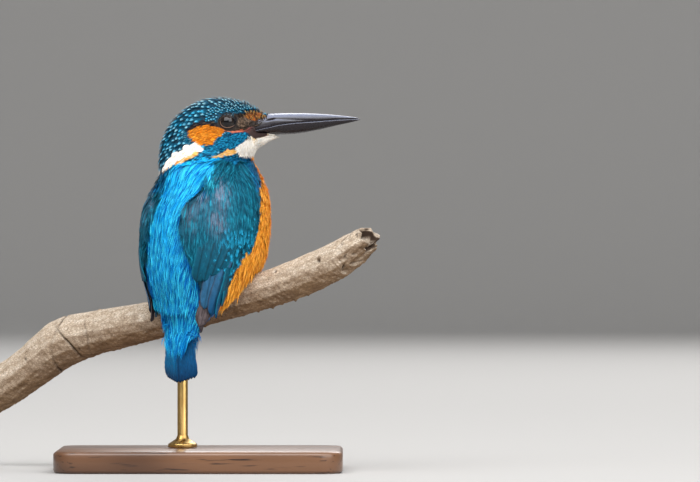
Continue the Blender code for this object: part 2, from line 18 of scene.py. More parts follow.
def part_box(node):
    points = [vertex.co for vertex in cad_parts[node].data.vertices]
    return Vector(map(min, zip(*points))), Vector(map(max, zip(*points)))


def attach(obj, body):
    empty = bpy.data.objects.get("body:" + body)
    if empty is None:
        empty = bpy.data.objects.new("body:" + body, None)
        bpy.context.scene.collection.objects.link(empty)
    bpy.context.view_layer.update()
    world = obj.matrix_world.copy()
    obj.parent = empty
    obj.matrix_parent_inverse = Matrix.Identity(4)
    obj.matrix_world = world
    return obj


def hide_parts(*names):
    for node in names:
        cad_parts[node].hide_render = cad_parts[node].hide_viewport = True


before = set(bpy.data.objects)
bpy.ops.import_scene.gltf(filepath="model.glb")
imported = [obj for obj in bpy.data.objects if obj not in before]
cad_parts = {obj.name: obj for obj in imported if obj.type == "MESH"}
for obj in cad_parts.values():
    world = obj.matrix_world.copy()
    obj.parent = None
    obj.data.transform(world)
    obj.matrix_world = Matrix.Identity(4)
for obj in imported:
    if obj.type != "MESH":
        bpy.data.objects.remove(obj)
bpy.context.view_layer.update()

bl_info = {
    "name": "Perched kingfisher",
    "version": (1, 0, 0),
    "blender": (4, 5, 0),
    "location": "View3D > Sidebar > Kingfisher",
    "description": "Builds the skin, plumage, bill, eyes, feet, perch and stand of a kingfisher",
    "category": "Object",
}

UP = np.array((0.0, 0.0, 1.0))
FLAT = np.array((1.0, 1.0, 0.0))
SIDES = ((1, "right"), (-1, "left"))
MM = 0.001
# Millimetres from the eyes back to the head's own middle and forward to the bill's root, and
# from the tail forward to the trunk's own middle.
EYE_TO_CORE, EYE_TO_BILL, TAIL_TO_CORE = 8.8, 11.0, 18.0


# --- Places on the bird ---


def unit(vectors):
    return vectors / np.maximum(np.linalg.norm(vectors, axis=-1, keepdims=True), 1e-12)


def dot(a, b):
    return np.einsum("...i,...i->...", a, b)


def ease(value, low, high):
    """0 at low, 1 at high, and a smooth change between them."""
    share = np.clip((value - low) / (high - low), 0.0, 1.0)
    return share * share * (3 - 2 * share)


def places(mesh):
    """The vertices of a mesh, one row each."""
    points = np.empty(len(mesh.vertices) * 3)
    mesh.vertices.foreach_get("co", points)
    return points.reshape(-1, 3)


def node_points(name):
    return places(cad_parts[name].data)


def middle(name):
    low, high = node_points(name).min(0), node_points(name).max(0)
    return (low + high) / 2


def level(vector):
    return unit(np.array((vector[0], vector[1], 0.0)))


def ahead_of(right):
    return np.array((-right[1], right[0], 0.0))


def tail_right():
    """The way across the tail, which is far wider than it is thick."""
    points = node_points("tail")[:, :2]
    across = np.linalg.svd(points - points.mean(0), full_matrices=False)[2][0]
    wings = middle("wing_right") - middle("wing_left")
    return level(across * np.sign(across @ wings[:2]))


EYES = {side: middle("eye_" + word) for side, word in SIDES}
HEAD_RIGHT = level(EYES[1] - EYES[-1])
HEAD_AHEAD = ahead_of(HEAD_RIGHT)
EYE_LEVEL = EYES[1][2]
EYE_MIDDLE = (EYES[1] + EYES[-1]) / 2
EYE_BALL = (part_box("eye_right")[1].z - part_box("eye_right")[0].z) / 2
HEAD_CORE = EYE_MIDDLE - HEAD_AHEAD * EYE_TO_CORE * MM
BILL_ROOT = EYE_MIDDLE + HEAD_AHEAD * EYE_TO_BILL * MM
TRUNK_RIGHT = tail_right()
TRUNK_AHEAD = ahead_of(TRUNK_RIGHT)
TAIL_ROOT = middle("tail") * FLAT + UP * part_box("tail")[1].z
TRUNK_CORE = TAIL_ROOT * FLAT + TRUNK_AHEAD * TAIL_TO_CORE * MM


def head_chart(points):
    """Forward, out to the right and up of the eye's own level and place."""
    offset = points - HEAD_CORE
    forward = offset @ HEAD_AHEAD - EYE_TO_CORE * MM
    return forward, offset @ HEAD_RIGHT, points[:, 2] - EYE_LEVEL


def head_bearing(points):
    """Bearing in degrees from the bill round either side to the nape."""
    offset = points - HEAD_CORE
    return np.degrees(np.arctan2(np.abs(offset @ HEAD_RIGHT), offset @ HEAD_AHEAD))


def trunk_bearing(points):
    """Bearing in degrees from the breast round by the right, 0 to 360."""
    offset = points - TRUNK_CORE
    return np.degrees(np.arctan2(offset @ TRUNK_RIGHT, offset @ TRUNK_AHEAD)) % 360


def fore_bearing(points):
    """Bearing in degrees from the breast round either side, 0 to 180."""
    bearing = trunk_bearing(points)
    return np.minimum(bearing, 360 - bearing)


def trunk_point(bearing, reach, height):
    """A point at this bearing and distance from the trunk's own middle."""
    turn = math.radians(bearing)
    flat = TRUNK_AHEAD * math.cos(turn) + TRUNK_RIGHT * math.sin(turn)
    return TRUNK_CORE * FLAT + flat * reach + UP * height


# --- Settings ---


def distance(name, default, description):
    return FloatProperty(
        name=name, default=default, min=0.0, precision=5, unit="LENGTH", description=description
    )


def share_of(name, default, description):
    return FloatProperty(
        name=name, default=default, min=0.0, max=4.0, subtype="FACTOR", description=description
    )


def number(name, default, description):
    return IntProperty(name=name, default=default, min=1, description=description)


def amount(name, default, description):
    return FloatProperty(name=name, default=default, min=0.0, description=description)


def tint(name, red, green, blue, description):
    """A colour given as the numbers of a paint chart, 0 to 255, and kept as linear light."""
    chart = [part / 255 for part in (red, green, blue)]
    light = [c / 12.92 if c <= 0.04045 else ((c + 0.055) / 1.055) ** 2.4 for c in chart]
    return FloatVectorProperty(
        name=name, default=light, size=3, min=0.0, max=1.0, subtype="COLOR", description=description
    )


def tract(name, spacing, length, width, strands, rows, lift, ruffle):
    """A settings class for one tract of feathers; sizes in millimetres."""
    fields = {
        "spacing": distance("Spacing", spacing * MM, "Distance between feather roots"),
        "length": distance("Length", length * MM, "Length of a full-sized feather"),
        "width": distance("Width", width * MM, "Width of a full-sized feather"),
        "strands": number("Strands", strands, "Groups of barbs that make one feather"),
        "rows": number("Rows", rows, "Points along each strand"),
        "lift": share_of("Lift", lift, "Height of the tips, as a share of the coat's depth"),
        "ruffle": share_of("Ruffle", ruffle, "How unevenly the strands lie"),
    }
    return type(name, (PropertyGroup,), {"__annotations__": fields})


FaceTract = tract("FaceTract", 0.42, 1.6, 0.6, 4, 3, 1.0, 0.7)
CrownTract = tract("CrownTract", 1.75, 4.2, 2.5, 14, 6, 1.6, 0.25)
CheekTract = tract("CheekTract", 0.62, 3.6, 1.0, 6, 4, 1.1, 0.6)
MantleTract = tract("MantleTract", 1.1, 11.0, 2.5, 13, 6, 1.0, 0.8)
BreastTract = tract("BreastTract", 1.0, 6.5, 2.0, 11, 4, 1.0, 0.7)
WingTract = tract("WingTract", 1.15, 9.0, 3.4, 16, 5, 1.0, 0.4)
CovertTract = tract("CovertTract", 2.4, 6.0, 3.8, 16, 6, 1.0, 0.25)


class Palette(PropertyGroup):
    """Colours of the plumage."""

    azure: tint("Azure", 0, 180, 250, "Back and rump")
    azure_light: tint("Light azure", 66, 224, 255, "Glinting barbs of the back")
    azure_deep: tint("Deep azure", 0, 98, 184, "Shaded barbs of the back")
    crown: tint("Crown", 0, 66, 92, "Crown and nape between the spots")
    crown_light: tint("Crown light", 8, 110, 144, "Lighter barbs of the crown")
    spot: tint("Spot", 44, 186, 236, "Tips of the crown feathers")
    # The spot glint is a painted sky reflection on the crown's tips.
    spot_glint: tint("Spot glint", 176, 236, 250, "Palest tips on the crown")
    orange: tint("Orange", 255, 176, 58, "Breast and belly")
    orange_light: tint("Light orange", 255, 212, 124, "Pale barbs of the breast")
    rufous: tint("Rufous", 232, 142, 44, "Shaded barbs of the breast")
    ear: tint("Ear", 230, 122, 2, "Ear coverts and lores")
    white: tint("White", 255, 252, 246, "Throat and neck patch")
    buff: tint("Buff", 250, 202, 108, "Edges of the white")
    moustache: tint("Moustache", 0, 70, 112, "Stripe from the gape")
    moustache_light: tint("Moustache light", 40, 182, 234, "Barbs of that stripe")
    dark: tint("Dark", 22, 22, 30, "Lines round the eye")
    brown: tint("Brown", 120, 100, 84, "Patch in front of the eye")
    slate: tint("Slate", 10, 74, 98, "Scapulars")
    mauve: tint("Mauve", 146, 142, 164, "Sheen of the scapulars")
    teal: tint("Teal", 0, 78, 102, "Wing coverts")
    teal_light: tint("Light teal", 28, 140, 168, "Edges of wing feathers")
    dusk: tint("Dusk", 88, 78, 80, "Wing tips")
    steel: tint("Steel", 46, 100, 138, "Middle of the inner flight feathers")
    tail: tint("Tail", 0, 62, 110, "Tail feathers")
    flesh: tint("Flesh", 208, 112, 84, "Bare skin at the gape")


class SkinSettings(PropertyGroup):
    """Settings of the skin under the plumage."""

    grain: distance("Grain", 0.00045, "Size of the skin's faces")
    seam: distance("Seam", 0.00025, "Half of the gap closed between pieces of flesh")
    head_coat: distance("Head coat", 0.00075, "Depth of the plumage over the head")
    trunk_coat: distance("Trunk coat", 0.0014, "Depth of the plumage over the trunk")
    wing_coat: distance("Wing coat", 0.0011, "Depth of the plumage over the wings")


class HardSettings(PropertyGroup):
    """Settings of the bill, the perch and the broad feathers."""

    grain: distance("Bill grain", 0.0003, "Size of the bill's faces")
    bark_grain: distance("Bark grain", 0.00045, "Size of the perch's faces")
    quill: distance("Quill", 0.00012, "Thickness of a flight feather")


class StageSettings(PropertyGroup):
    """Settings of the floor, the lights and the camera."""

    reach: distance("Reach", 5.2, "Radius of the floor")
    tone: tint("Tone", 168, 166, 164, "Colour of the floor")
    key: amount("Key", 120.0, "Power of the main light")
    fill: amount("Fill", 110.0, "Power of the fill light")
    sky: amount("Sky", 0.55, "Strength of the surroundings")
    lens: amount("Lens", 293.9, "Focal length in millimetres")


SETTINGS = {
    "palette": Palette, "skin": SkinSettings, "face": FaceTract, "crown": CrownTract,
    "cheek": CheekTract, "mantle": MantleTract, "breast": BreastTract, "wing": WingTract,
    "covert": CovertTract, "hard": HardSettings, "stage": StageSettings,
}


def settings_of(name):
    return getattr(bpy.context.scene, "kingfisher_" + name)


def colour_of(name):
    """A colour of the palette, as linear light."""
    return np.array(getattr(settings_of("palette"), name))


# --- Meshes ---


def activate(obj):
    for other in list(bpy.context.selected_objects):
        other.select_set(False)
    obj.select_set(True)
    bpy.context.view_layer.objects.active = obj


def apply(obj, kind, **settings):
    """Adds a modifier with these settings and applies it."""
    activate(obj)
    change = obj.modifiers.new(kind.lower(), kind)
    for name, value in settings.items():
        setattr(change, name, value)
    bpy.ops.object.modifier_apply(modifier=change.name)


def link(name, mesh):
    made = bpy.data.objects.new(name, mesh)
    bpy.context.scene.collection.objects.link(made)
    return made


def node_copy(name):
    """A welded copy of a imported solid, free to be reshaped."""
    body = bmesh.new()
    body.from_mesh(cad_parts[name].data)
    bmesh.ops.remove_doubles(body, verts=body.verts, dist=1e-6)
    mesh = bpy.data.meshes.new(name + "_copy")
    body.to_mesh(mesh)
    body.free()
    return link(name + "_copy", mesh)


def join(objects, name):
    activate(objects[0])
    for obj in objects[1:]:
        obj.select_set(True)
    bpy.ops.object.join()
    objects[0].name = objects[0].data.name = name
    return objects[0]


def move_to(mesh, points):
    mesh.vertices.foreach_set("co", np.ascontiguousarray(points, np.float32).ravel())
    mesh.update()


def normals_of(mesh):
    normals = np.empty(len(mesh.vertices) * 3)
    mesh.vertex_normals.foreach_get("vector", normals)
    return normals.reshape(-1, 3)


def push(obj, amounts):
    """Moves each vertex out along its normal."""
    amounts = np.broadcast_to(np.asarray(amounts, float), len(obj.data.vertices))
    move_to(obj.data, places(obj.data) + normals_of(obj.data) * amounts[:, None])


def even_out(obj, grain, rounds=4):
    """Gives a solid small even faces and eases its edges."""
    apply(obj, "REMESH", mode="VOXEL", voxel_size=grain)
    apply(obj, "SMOOTH", factor=0.5, iterations=rounds)


def store(mesh, name, values):
    """Keeps one number for each vertex under a name that a finish reads."""
    layer = mesh.attributes.new(name, "FLOAT", "POINT")
    layer.data.foreach_set("value", values.astype(np.float32))


def corner_numbers(mesh):
    """The vertex at each corner of every face, in order."""
    corners = np.empty(len(mesh.loops), np.int32)
    mesh.loops.foreach_get("vertex_index", corners)
    return corners


def give(piece, finish):
    """Leaves the piece with this one material."""
    piece.data.materials.clear()
    piece.data.materials.append(finish)


def smooth_shaded(obj):
    obj.data.polygons.foreach_set("use_smooth", np.ones(len(obj.data.polygons), bool))
    obj.data.update()


def mesh_from(name, points, quads, triangles=()):
    """A mesh from arrays of points, four-cornered faces and three-cornered faces."""
    quads = np.asarray(quads, np.int32).reshape(-1, 4)
    triangles = np.asarray(triangles, np.int32).reshape(-1, 3)
    corners = np.concatenate([quads.ravel(), triangles.ravel()])
    starts = np.concatenate([
        np.arange(len(quads)) * 4,
        len(quads) * 4 + np.arange(len(triangles)) * 3,
    ])
    mesh = bpy.data.meshes.new(name)
    mesh.vertices.add(len(points))
    mesh.vertices.foreach_set("co", np.ascontiguousarray(points, np.float32).ravel())
    mesh.loops.add(len(corners))
    mesh.loops.foreach_set("vertex_index", corners.astype(np.int32))
    mesh.polygons.add(len(starts))
    mesh.polygons.foreach_set("loop_start", starts.astype(np.int32))
    mesh.update(calc_edges=True)
    mesh.validate()
    return mesh


def paint_points(mesh, colours):
    """Stores one colour for each vertex under the name that the plumage finish reads."""
    layer = mesh.color_attributes.get("Plumage")
    if layer is None:
        layer = mesh.color_attributes.new(name="Plumage", type="FLOAT_COLOR", domain="POINT")
    full = np.ones((len(colours), 4), np.float32)
    full[:, :3] = np.clip(colours, 0.0, 1.0)
    layer.data.foreach_set("color", full.ravel())


EVENING_ROUNDS = 4
# Trial points for each place that could take a root.
CROWDING = 9.0


class Surface:
    """The skin that feathers grow on: nearest points, evened normals and places to root."""

    def __init__(self, obj, ground=()):
        mesh = obj.data
        self.points = places(mesh)
        self.faces = corner_numbers(mesh).reshape(-1, 4)
        normals = normals_of(mesh)
        edges = np.empty(len(mesh.edges) * 2, np.int32)
        mesh.edges.foreach_get("vertices", edges)
        edges = edges.reshape(-1, 2)
        for _ in range(EVENING_ROUNDS):
            total = normals.copy()
            np.add.at(total, edges[:, 0], normals[edges[:, 1]])
            np.add.at(total, edges[:, 1], normals[edges[:, 0]])
            normals = unit(total)
        self.face_normals = unit(normals[self.faces].mean(1))
        self.centres = self.points[self.faces].mean(1)
        a, b, c, d = (self.points[self.faces[:, i]] for i in range(4))
        self.areas = np.linalg.norm(np.cross(c - a, d - b), axis=1) / 2
        points, faces = self.points.tolist(), self.faces.tolist()
        self.tree = BVHTree.FromPolygons(points, faces)
        for name in ground:
            start = len(points)
            points += node_points(name).tolist()
            faces += [[start + v for v in f.vertices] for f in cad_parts[name].data.polygons]
        self.ground = BVHTree.FromPolygons(points, faces)

    def nearest(self, points):
        """Nearest points and normals on the skin."""
        found = [self.tree.find_nearest(point) for point in points.tolist()]
        faces = np.array([hit[2] for hit in found])
        return np.array([hit[0] for hit in found]), self.face_normals[faces]

    def nearest_ground(self, points):
        """Nearest points and normals on the skin or on the solid quills and tail."""
        found = [self.ground.find_nearest(point) for point in points.tolist()]
        own = len(self.faces)
        normals = [self.face_normals[hit[2]] if hit[2] < own else hit[1] for hit in found]
        return np.array([hit[0] for hit in found]), np.array(normals)

    def scatter(self, wanted, spacing, seed):
        """Points spread over the wanted faces, none nearer to another than the spacing there."""
        rng = np.random.default_rng(seed)
        weight = np.where(wanted, self.areas / spacing**2, 0.0)
        count = int(weight.sum() * CROWDING)
        faces = rng.choice(len(weight), count, p=weight / weight.sum())
        a, b, c, d = (self.points[self.faces[faces, i]] for i in range(4))
        x, y = rng.random((2, count, 1))
        points = (a * (1 - x) + b * x) * (1 - y) + (d * (1 - x) + c * x) * y
        near = kdtree.KDTree(count)
        for index, point in enumerate(points.tolist()):
            near.insert(point, index)
        near.balance()
        free = np.ones(count, bool)
        chosen = []
        for index, (point, reach) in enumerate(zip(points.tolist(), spacing[faces].tolist())):
            if free[index]:
                chosen.append(index)
                free[[hit[1] for hit in near.find_range(point, reach)]] = False
        return points[chosen], self.face_normals[faces[chosen]], faces[chosen]


# --- Markings ---

# Outlines on the side of the head, forward and up from the middle of the eye in millimetres.
HEAD_OUTLINES = {
    "throat": (
        (2.9, -11.0), (8.6, -6.7), (10.5, -5.0), (28.0, -2.0), (28.0, -22.0), (4.0, -22.0),
        (4.5, -14.0),
    ),
    "band": (
        (-6.4, -14.6), (-2.2, -12.9), (2.0, -11.4), (4.0, -11.8), (3.0, -13.6), (-0.5, -14.6),
        (-2.4, -15.8), (-6.0, -16.0),
    ),
    "moustache": (
        (8.0, -4.0), (0.3, -4.7), (-2.3, -5.6), (-4.4, -8.8), (-7.5, -10.9), (-10.8, -12.6),
        (-12.8, -14.7), (-12.4, -17.4), (-5.8, -14.4), (-4.3, -13.0), (2.9, -11.0), (8.6, -6.7),
    ),
    "patch": (
        (-13.2, -8.4), (-18.6, -11.4), (-22.8, -14.4), (-25.2, -17.4), (-28.4, -21.6),
        (-20.2, -17.9), (-14.5, -15.2), (-12.8, -14.2), (-10.7, -12.2), (-9.3, -10.8),
    ),
    "patch_edge": (
        (-28.6, -22.6), (-20.2, -18.3), (-12.6, -14.3), (-11.4, -12.8), (-14.5, -13.7),
        (-20.0, -16.6),
    ),
    "ear_line": (
        (-0.5, -1.2), (-4.5, 0.0), (-9.0, 0.4), (-13.6, -0.8), (-17.8, -3.6), (-16.9, -4.8),
        (-13.3, -2.4), (-8.9, -1.3), (-4.6, -1.8), (-1.3, -2.9),
    ),
    "ear": (
        (-0.6, -2.9), (-4.6, -1.8), (-8.9, -1.3), (-13.3, -2.4), (-16.8, -4.5), (-16.2, -6.2),
        (-13.0, -8.8), (-9.2, -10.4), (-5.5, -8.8), (-4.2, -6.7), (-0.6, -4.4),
    ),
    "lore_dark": (
        (2.4, 3.4), (7.0, 4.0), (14.0, 4.4), (17.0, 2.0), (15.5, -1.0), (12.0, -1.9), (8.6, -3.3),
        (2.4, -3.9), (-1.0, -3.9), (-0.5, -2.6), (2.4, -2.0),
    ),
    "lore_brown": ((4.0, -0.4), (4.5, 1.4), (6.2, 2.7), (8.2, 2.2), (9.3, 0.9), (8.7, -0.6),
                   (6.9, -1.8), (5.0, -1.9)),
    "lore": (
        (6.6, 2.4), (7.7, 4.2), (10.2, 4.6), (14.5, 3.9), (15.6, 1.2), (10.9, 0.7), (8.3, 1.3),
    ),
    "gape": (
        (2.0, -3.8), (7.5, -3.0), (9.0, -1.9), (13.5, -0.8), (16.0, -2.0), (16.0, -5.6),
        (11.2, -6.9), (9.6, -5.9), (8.2, -4.1), (2.0, -4.4),
    ),
}
# Feathered parts of the bill's root, in the same measures.
ROOT_OUTLINES = {
    "crown": ((9.0, 3.0), (12.5, 3.0), (14.6, 2.2), (16.2, 2.4), (16.4, 6.0), (9.0, 6.0)),
    "lore": ((7.0, 3.3), (16.2, 3.3), (15.8, 1.6), (14.4, 1.0), (10.0, 0.7), (7.0, 0.7)),
    "lore_dark": ((7.0, 0.7), (10.0, 0.7), (14.4, 1.0), (16.4, 1.5), (14.6, -0.2), (12.6, -1.3),
                  (10.0, -2.3), (7.0, -2.3)),
}
# Edge between head and trunk plumage: bearing from the bill, millimetres up of the eye.
COLLAR = ((0, -14.3), (22, -15.0), (50, -14.5), (80, -15.5), (98, -15.8), (130, -18.4),
          (153, -22.6), (180, -25.3))
# Edges of the azure back: height, and bearings of its right and left edges on the trunk.
AZURE_EDGES = ((55, 146, 214), (69, 148, 214), (80, 150, 212), (91, 153, 207), (102, 160, 200),
               (109, 157, 193), (116, 150, 192), (119, 140, 192), (124, 124, 188),
               (127, 128, 182), (131, 120, 176))
# Front edge of the folded wing's plumage over the side of the breast: height, bearing.
WING_FRONT = ((90, 97), (97, 88), (104, 80.5), (111, 76), (117, 70.5), (121, 67))
ZONES = (
    "crown", "throat", "band", "moustache", "patch", "patch_edge", "ear_line", "ear",
    "lore_dark", "lore_brown", "lore", "gape", "azure", "orange", "breast_side", "scapular",
    "covert", "rump_side",
)
ZONE = {name: index for index, name in enumerate(ZONES)}


def inside(outline, across, up):
    """True where a point lies inside the closed outline."""
    found = np.zeros(len(across), bool)
    for (x0, y0), (x1, y1) in zip(outline, outline[1:] + outline[:1]):
        if y0 != y1:
            crosses = (up > y0) != (up > y1)
            found ^= crosses & (across < (x1 - x0) * (up - y0) / (y1 - y0) + x0)
    return found


def collar_height(points):
    bearings, heights = zip(*COLLAR)
    return EYE_LEVEL + np.interp(head_bearing(points), bearings, heights) * MM


def head_share(points, blend):
    """1 over the head's plumage, 0 over the trunk's."""
    line = collar_height(points)
    return ease(points[:, 2], line - blend * MM, line + blend * MM)


# Levels on the trunk that part its zones, millimetres of height.
LOW_SCAPULARS, LOW_WING_FRONT, TOP_COVERTS, LOW_COLLAR = 88, 90, 101, 116
TOP_WING_FRONT, TOP_SCAPULARS, TOP_RUMP_SIDE = 121, 122, 130
# Bearings from the breast that part them, degrees.
BACK_FROM, WING_FRONT_TO = 130, 125


def zones_at(points, on_wing):
    """The plumage zone of each point."""
    zone = np.full(len(points), ZONE["orange"])
    bearing, fore, height = trunk_bearing(points), fore_bearing(points), points[:, 2] / MM
    back = fore > BACK_FROM
    zone[back & (height < TOP_RUMP_SIDE)] = ZONE["rump_side"]
    zone[back & (height < TOP_SCAPULARS) & (height > LOW_SCAPULARS)] = ZONE["scapular"]
    heights, fronts = np.array(WING_FRONT).T
    side = (height > LOW_WING_FRONT) & (height < TOP_WING_FRONT) & (fore < WING_FRONT_TO)
    side &= fore > np.interp(height, heights, fronts)
    zone[side] = np.where(height < TOP_COVERTS, ZONE["covert"], ZONE["scapular"])[side]
    edge = 50 + np.clip(height - 127, 0, 9) * 3.2 + np.clip(124 - height, 0, 9) * 3.0
    zone[(fore > edge) & (height > LOW_COLLAR)] = ZONE["breast_side"]
    zone[on_wing & ((height < 128) | (fore > 78))] = ZONE["scapular"]
    zone[on_wing & (height > 117) & (fore < 86)] = ZONE["breast_side"]
    low_fore = fore < 131 - 0.5 * np.abs(height - 88)
    zone[on_wing & (height < TOP_COVERTS) & low_fore] = ZONE["covert"]
    heights, right, left = np.array(AZURE_EDGES, float).T
    azure = (bearing > np.interp(height, heights, right))
    azure &= bearing < np.interp(height, heights, left)
    zone[azure & (~on_wing | (height > LOW_COLLAR))] = ZONE["azure"]
    forward, _, up = head_chart(points)
    on_head = points[:, 2] > collar_height(points)
    zone[on_head] = ZONE["crown"]
    for name, outline in HEAD_OUTLINES.items():
        zone[on_head & inside(outline, forward / MM, up / MM)] = ZONE[name]
    zone[on_head & (lid_share(points) < 1.13)] = ZONE["lore_dark"]
    return zone


def zone_colours():
    """Main, light and deep colour of each zone, and how much its strands vary."""
    p = {name: colour_of(name) for name in Palette.__annotations__}
    table = {
        "crown": (p["crown"], p["crown_light"], p["crown"] * 0.45, 0.35),
        "throat": (p["white"], p["white"], p["buff"], 0.12),
        "band": (p["buff"], p["white"], p["ear"], 0.3),
        "moustache": (p["moustache"], p["moustache_light"], p["moustache"] * 0.4, 0.5),
        "patch": (p["white"], p["white"], p["buff"], 0.12),
        "patch_edge": (p["buff"], p["white"], p["ear"], 0.4),
        "ear_line": (p["dark"], p["brown"], p["dark"], 0.3),
        "ear": (p["ear"], p["orange"], p["rufous"] * 0.5, 0.6),
        "lore_dark": (p["brown"] * 0.26, p["brown"] * 0.8, p["dark"] * 0.6, 0.4),
        "lore_brown": (p["brown"] * 0.8, p["brown"] * 2.4, p["brown"] * 0.2, 0.7),
        "lore": (p["ear"], p["orange_light"], p["dark"], 1.3),
        "gape": (p["flesh"], p["flesh"], p["flesh"], 0.05),
        "azure": (p["azure"], p["azure_light"], p["azure_deep"], 0.6),
        "orange": (p["orange"], p["orange_light"], p["rufous"], 0.16),
        "breast_side": (p["moustache"] * 1.4, p["moustache_light"], p["moustache"], 0.5),
        "scapular": (p["slate"], p["teal_light"], p["teal"], 0.55),
        "covert": (p["teal"], p["teal_light"], p["teal"] * 0.4, 0.4),
        # The rump's sides are deep azure, partly their own blue and partly painted shade under the
        # wing tips.
        "rump_side": (p["azure_deep"], p["azure"], p["azure_deep"] * 0.4, 0.6),
    }
    columns = zip(*(table[name] for name in ZONES))
    return [np.array(column) for column in columns]


def mottle(points, size, phase=0.0):
    """A soft pattern of patches of about this size, from -1 to 1."""
    x, y, z = (points / size).T * 2.4
    first = np.sin(x + 1.7 * np.sin(y + phase)) * np.cos(z + 1.3 * np.sin(x - phase))
    second = np.sin(1.9 * y - z + phase) * np.cos(1.6 * x + 0.7 * z)
    return 0.6 * first + 0.4 * second


# --- Lie of the feathers ---

# Where the trunk's feathers aim, behind its own middle.
BACK_REACH = -28.0 * MM
# On each side, the point that the folded wing's feathers leave and the one they run to.
WING_POLES = {
    side: (
        middle("wing_" + word) * FLAT
        + (TRUNK_AHEAD * 4.0 + TRUNK_RIGHT * -2.0 * side) * MM
        + UP * (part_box("wing_" + word)[1].z + 1.5 * MM),
        middle("primaries_" + word) * FLAT + UP * (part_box("primaries_" + word)[0].z - 2 * MM),
    )
    for side, word in SIDES
}


def lie_of_head(points):
    """Back over the crown and down the nape and throat, up on the lores, round the eyes."""
    forward, _, up = head_chart(points)
    down = ease(-forward, 4.0 * MM, 29.0 * MM)
    chin = ease(-up, 2.0 * MM, 9.0 * MM) * ease(forward, 0.0, 12.0 * MM)
    back = 1.0 - 0.75 * down
    way = -np.outer(back, HEAD_AHEAD) - np.outer(0.3 + 0.9 * down + 0.6 * chin, UP)
    lore = ease(forward, 6.0 * MM, 8.5 * MM) * ease(up, -0.5 * MM, 1.0 * MM)
    lore = (lore * ease(up, 5.5 * MM, 4.6 * MM))[:, None]
    way = way * (1 - lore) + lore * (UP - HEAD_AHEAD * 0.35)
    for eye in EYES.values():
        away = unit(points - eye)
        near = ease(np.linalg.norm(points - eye, axis=1), 7.0 * MM, 4.6 * MM)
        way = way - away * (np.minimum(dot(way, away), 0) * near)[:, None]
    return way


def lie_of_trunk(points):
    """Down and back, drawn in to the tail's root low on the body."""
    aim_height = np.maximum(points[:, 2] - 35 * MM, TAIL_ROOT[2] - 20 * MM)
    low = ease(points[:, 2], 100 * MM, 60 * MM)
    back = TRUNK_CORE * FLAT + TRUNK_AHEAD * BACK_REACH
    aim = back + np.outer(low, TAIL_ROOT * FLAT - back) + np.outer(aim_height, UP)
    return unit(aim - points)


def lie_of_wing(points):
    """From the shoulder to the tip of the wing."""
    right = (points - TRUNK_CORE) @ TRUNK_RIGHT > 0
    lies = []
    for side, _ in SIDES:
        shoulder, tip = WING_POLES[side]
        from_shoulder = points - shoulder
        near = np.exp(-np.linalg.norm(from_shoulder, axis=1) / (16 * MM))
        lies.append(unit(from_shoulder) * (0.25 + 1.6 * near)[:, None] + unit(tip - points))
    return np.where(right[:, None], lies[0], lies[1])


def lie_at(points, normals, wing):
    """Unit direction along the skin from root to tip of a feather at each point."""
    head = head_share(points, 3.0)[:, None]
    body = np.where(wing[:, None], lie_of_wing(points), lie_of_trunk(points))
    way = lie_of_head(points) * head + unit(body) * (1 - head)
    return unit(way - normals * dot(way, normals)[:, None])


# --- Skin ---

FLESH = ("head", "neck", "trunk", "wing_right", "wing_left")
FIRST_WING = FLESH.index("wing_right")
TREES = {}
WORK = {}


def tree_of(name):
    """Nearest-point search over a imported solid."""
    if name not in TREES:
        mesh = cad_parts[name].data
        faces = [tuple(face.vertices) for face in mesh.polygons]
        TREES[name] = BVHTree.FromPolygons(node_points(name).tolist(), faces)
    return TREES[name]


def flesh_at(points):
    """Index in FLESH of the solid nearest to each point."""
    reach = [[tree_of(n).find_nearest(p)[3] for p in points.tolist()] for n in FLESH]
    return np.argmin(reach, axis=0)


def eye_distance(points):
    return np.minimum(*(np.linalg.norm(points - eye, axis=1) for eye in EYES.values()))


# Depth of the coat round the eye and the bill's root.
FACE_COAT = 0.35 * MM


def coat_depth(points, flesh, settings):
    """How deep the skin lies under the outline of the plumage."""
    head = head_share(points, 4.0)
    body = np.where(flesh >= FIRST_WING, settings.wing_coat, settings.trunk_coat)
    depth = settings.head_coat * head + body * (1 - head)
    bill = np.linalg.norm(points - (BILL_ROOT - UP * 2 * MM), axis=1)
    face = np.maximum(
        ease(eye_distance(points), 9 * MM, 4 * MM), ease(bill, 12 * MM, 6 * MM)
    )
    return depth + (FACE_COAT - depth) * face


def grow_flesh(settings):
    """One closed skin over the head, neck, trunk and wings, sunk by the coat's depth."""
    parts = [node_copy(name) for name in FLESH]
    for part in parts:
        push(part, settings.seam)
    flesh = join(parts, "skin")
    even_out(flesh, settings.grain)
    points = places(flesh.data)
    depth = coat_depth(points, flesh_at(points), settings)
    push(flesh, -(depth + settings.seam))
    apply(flesh, "SMOOTH", factor=0.5, iterations=2)
    return flesh


def rings_between(rings):
    """Quads that join rings of equal length, given as rows of vertex numbers."""
    quads = []
    for lower, upper in zip(rings[:-1], rings[1:]):
        after_lower, after_upper = np.roll(lower, -1), np.roll(upper, -1)
        quads.append(np.stack([lower, after_lower, after_upper, upper], 1))
    return np.concatenate(quads)


def eye_axes(side):
    """Out of the socket, forward and up for the eye on one side."""
    out = unit(HEAD_RIGHT * side + HEAD_AHEAD * 0.12 + UP * 0.05)
    forward = unit(HEAD_AHEAD - out * (HEAD_AHEAD @ out))
    return out, forward, np.cross(out, forward) * side


# Rings of an eyelid from the ball outwards: half length, half height, height over the ball.
LID_RINGS = (
    (3.02, 2.16, -0.10), (3.12, 2.25, 0.12), (3.22, 2.34, 0.22), (3.32, 2.45, 0.20),
    (3.42, 2.56, 0.06), (3.52, 2.68, 0.12), (3.64, 2.82, 0.04), (3.85, 3.05, -0.2),
    (4.20, 3.60, -0.75),
)
LID_POINTS = 40


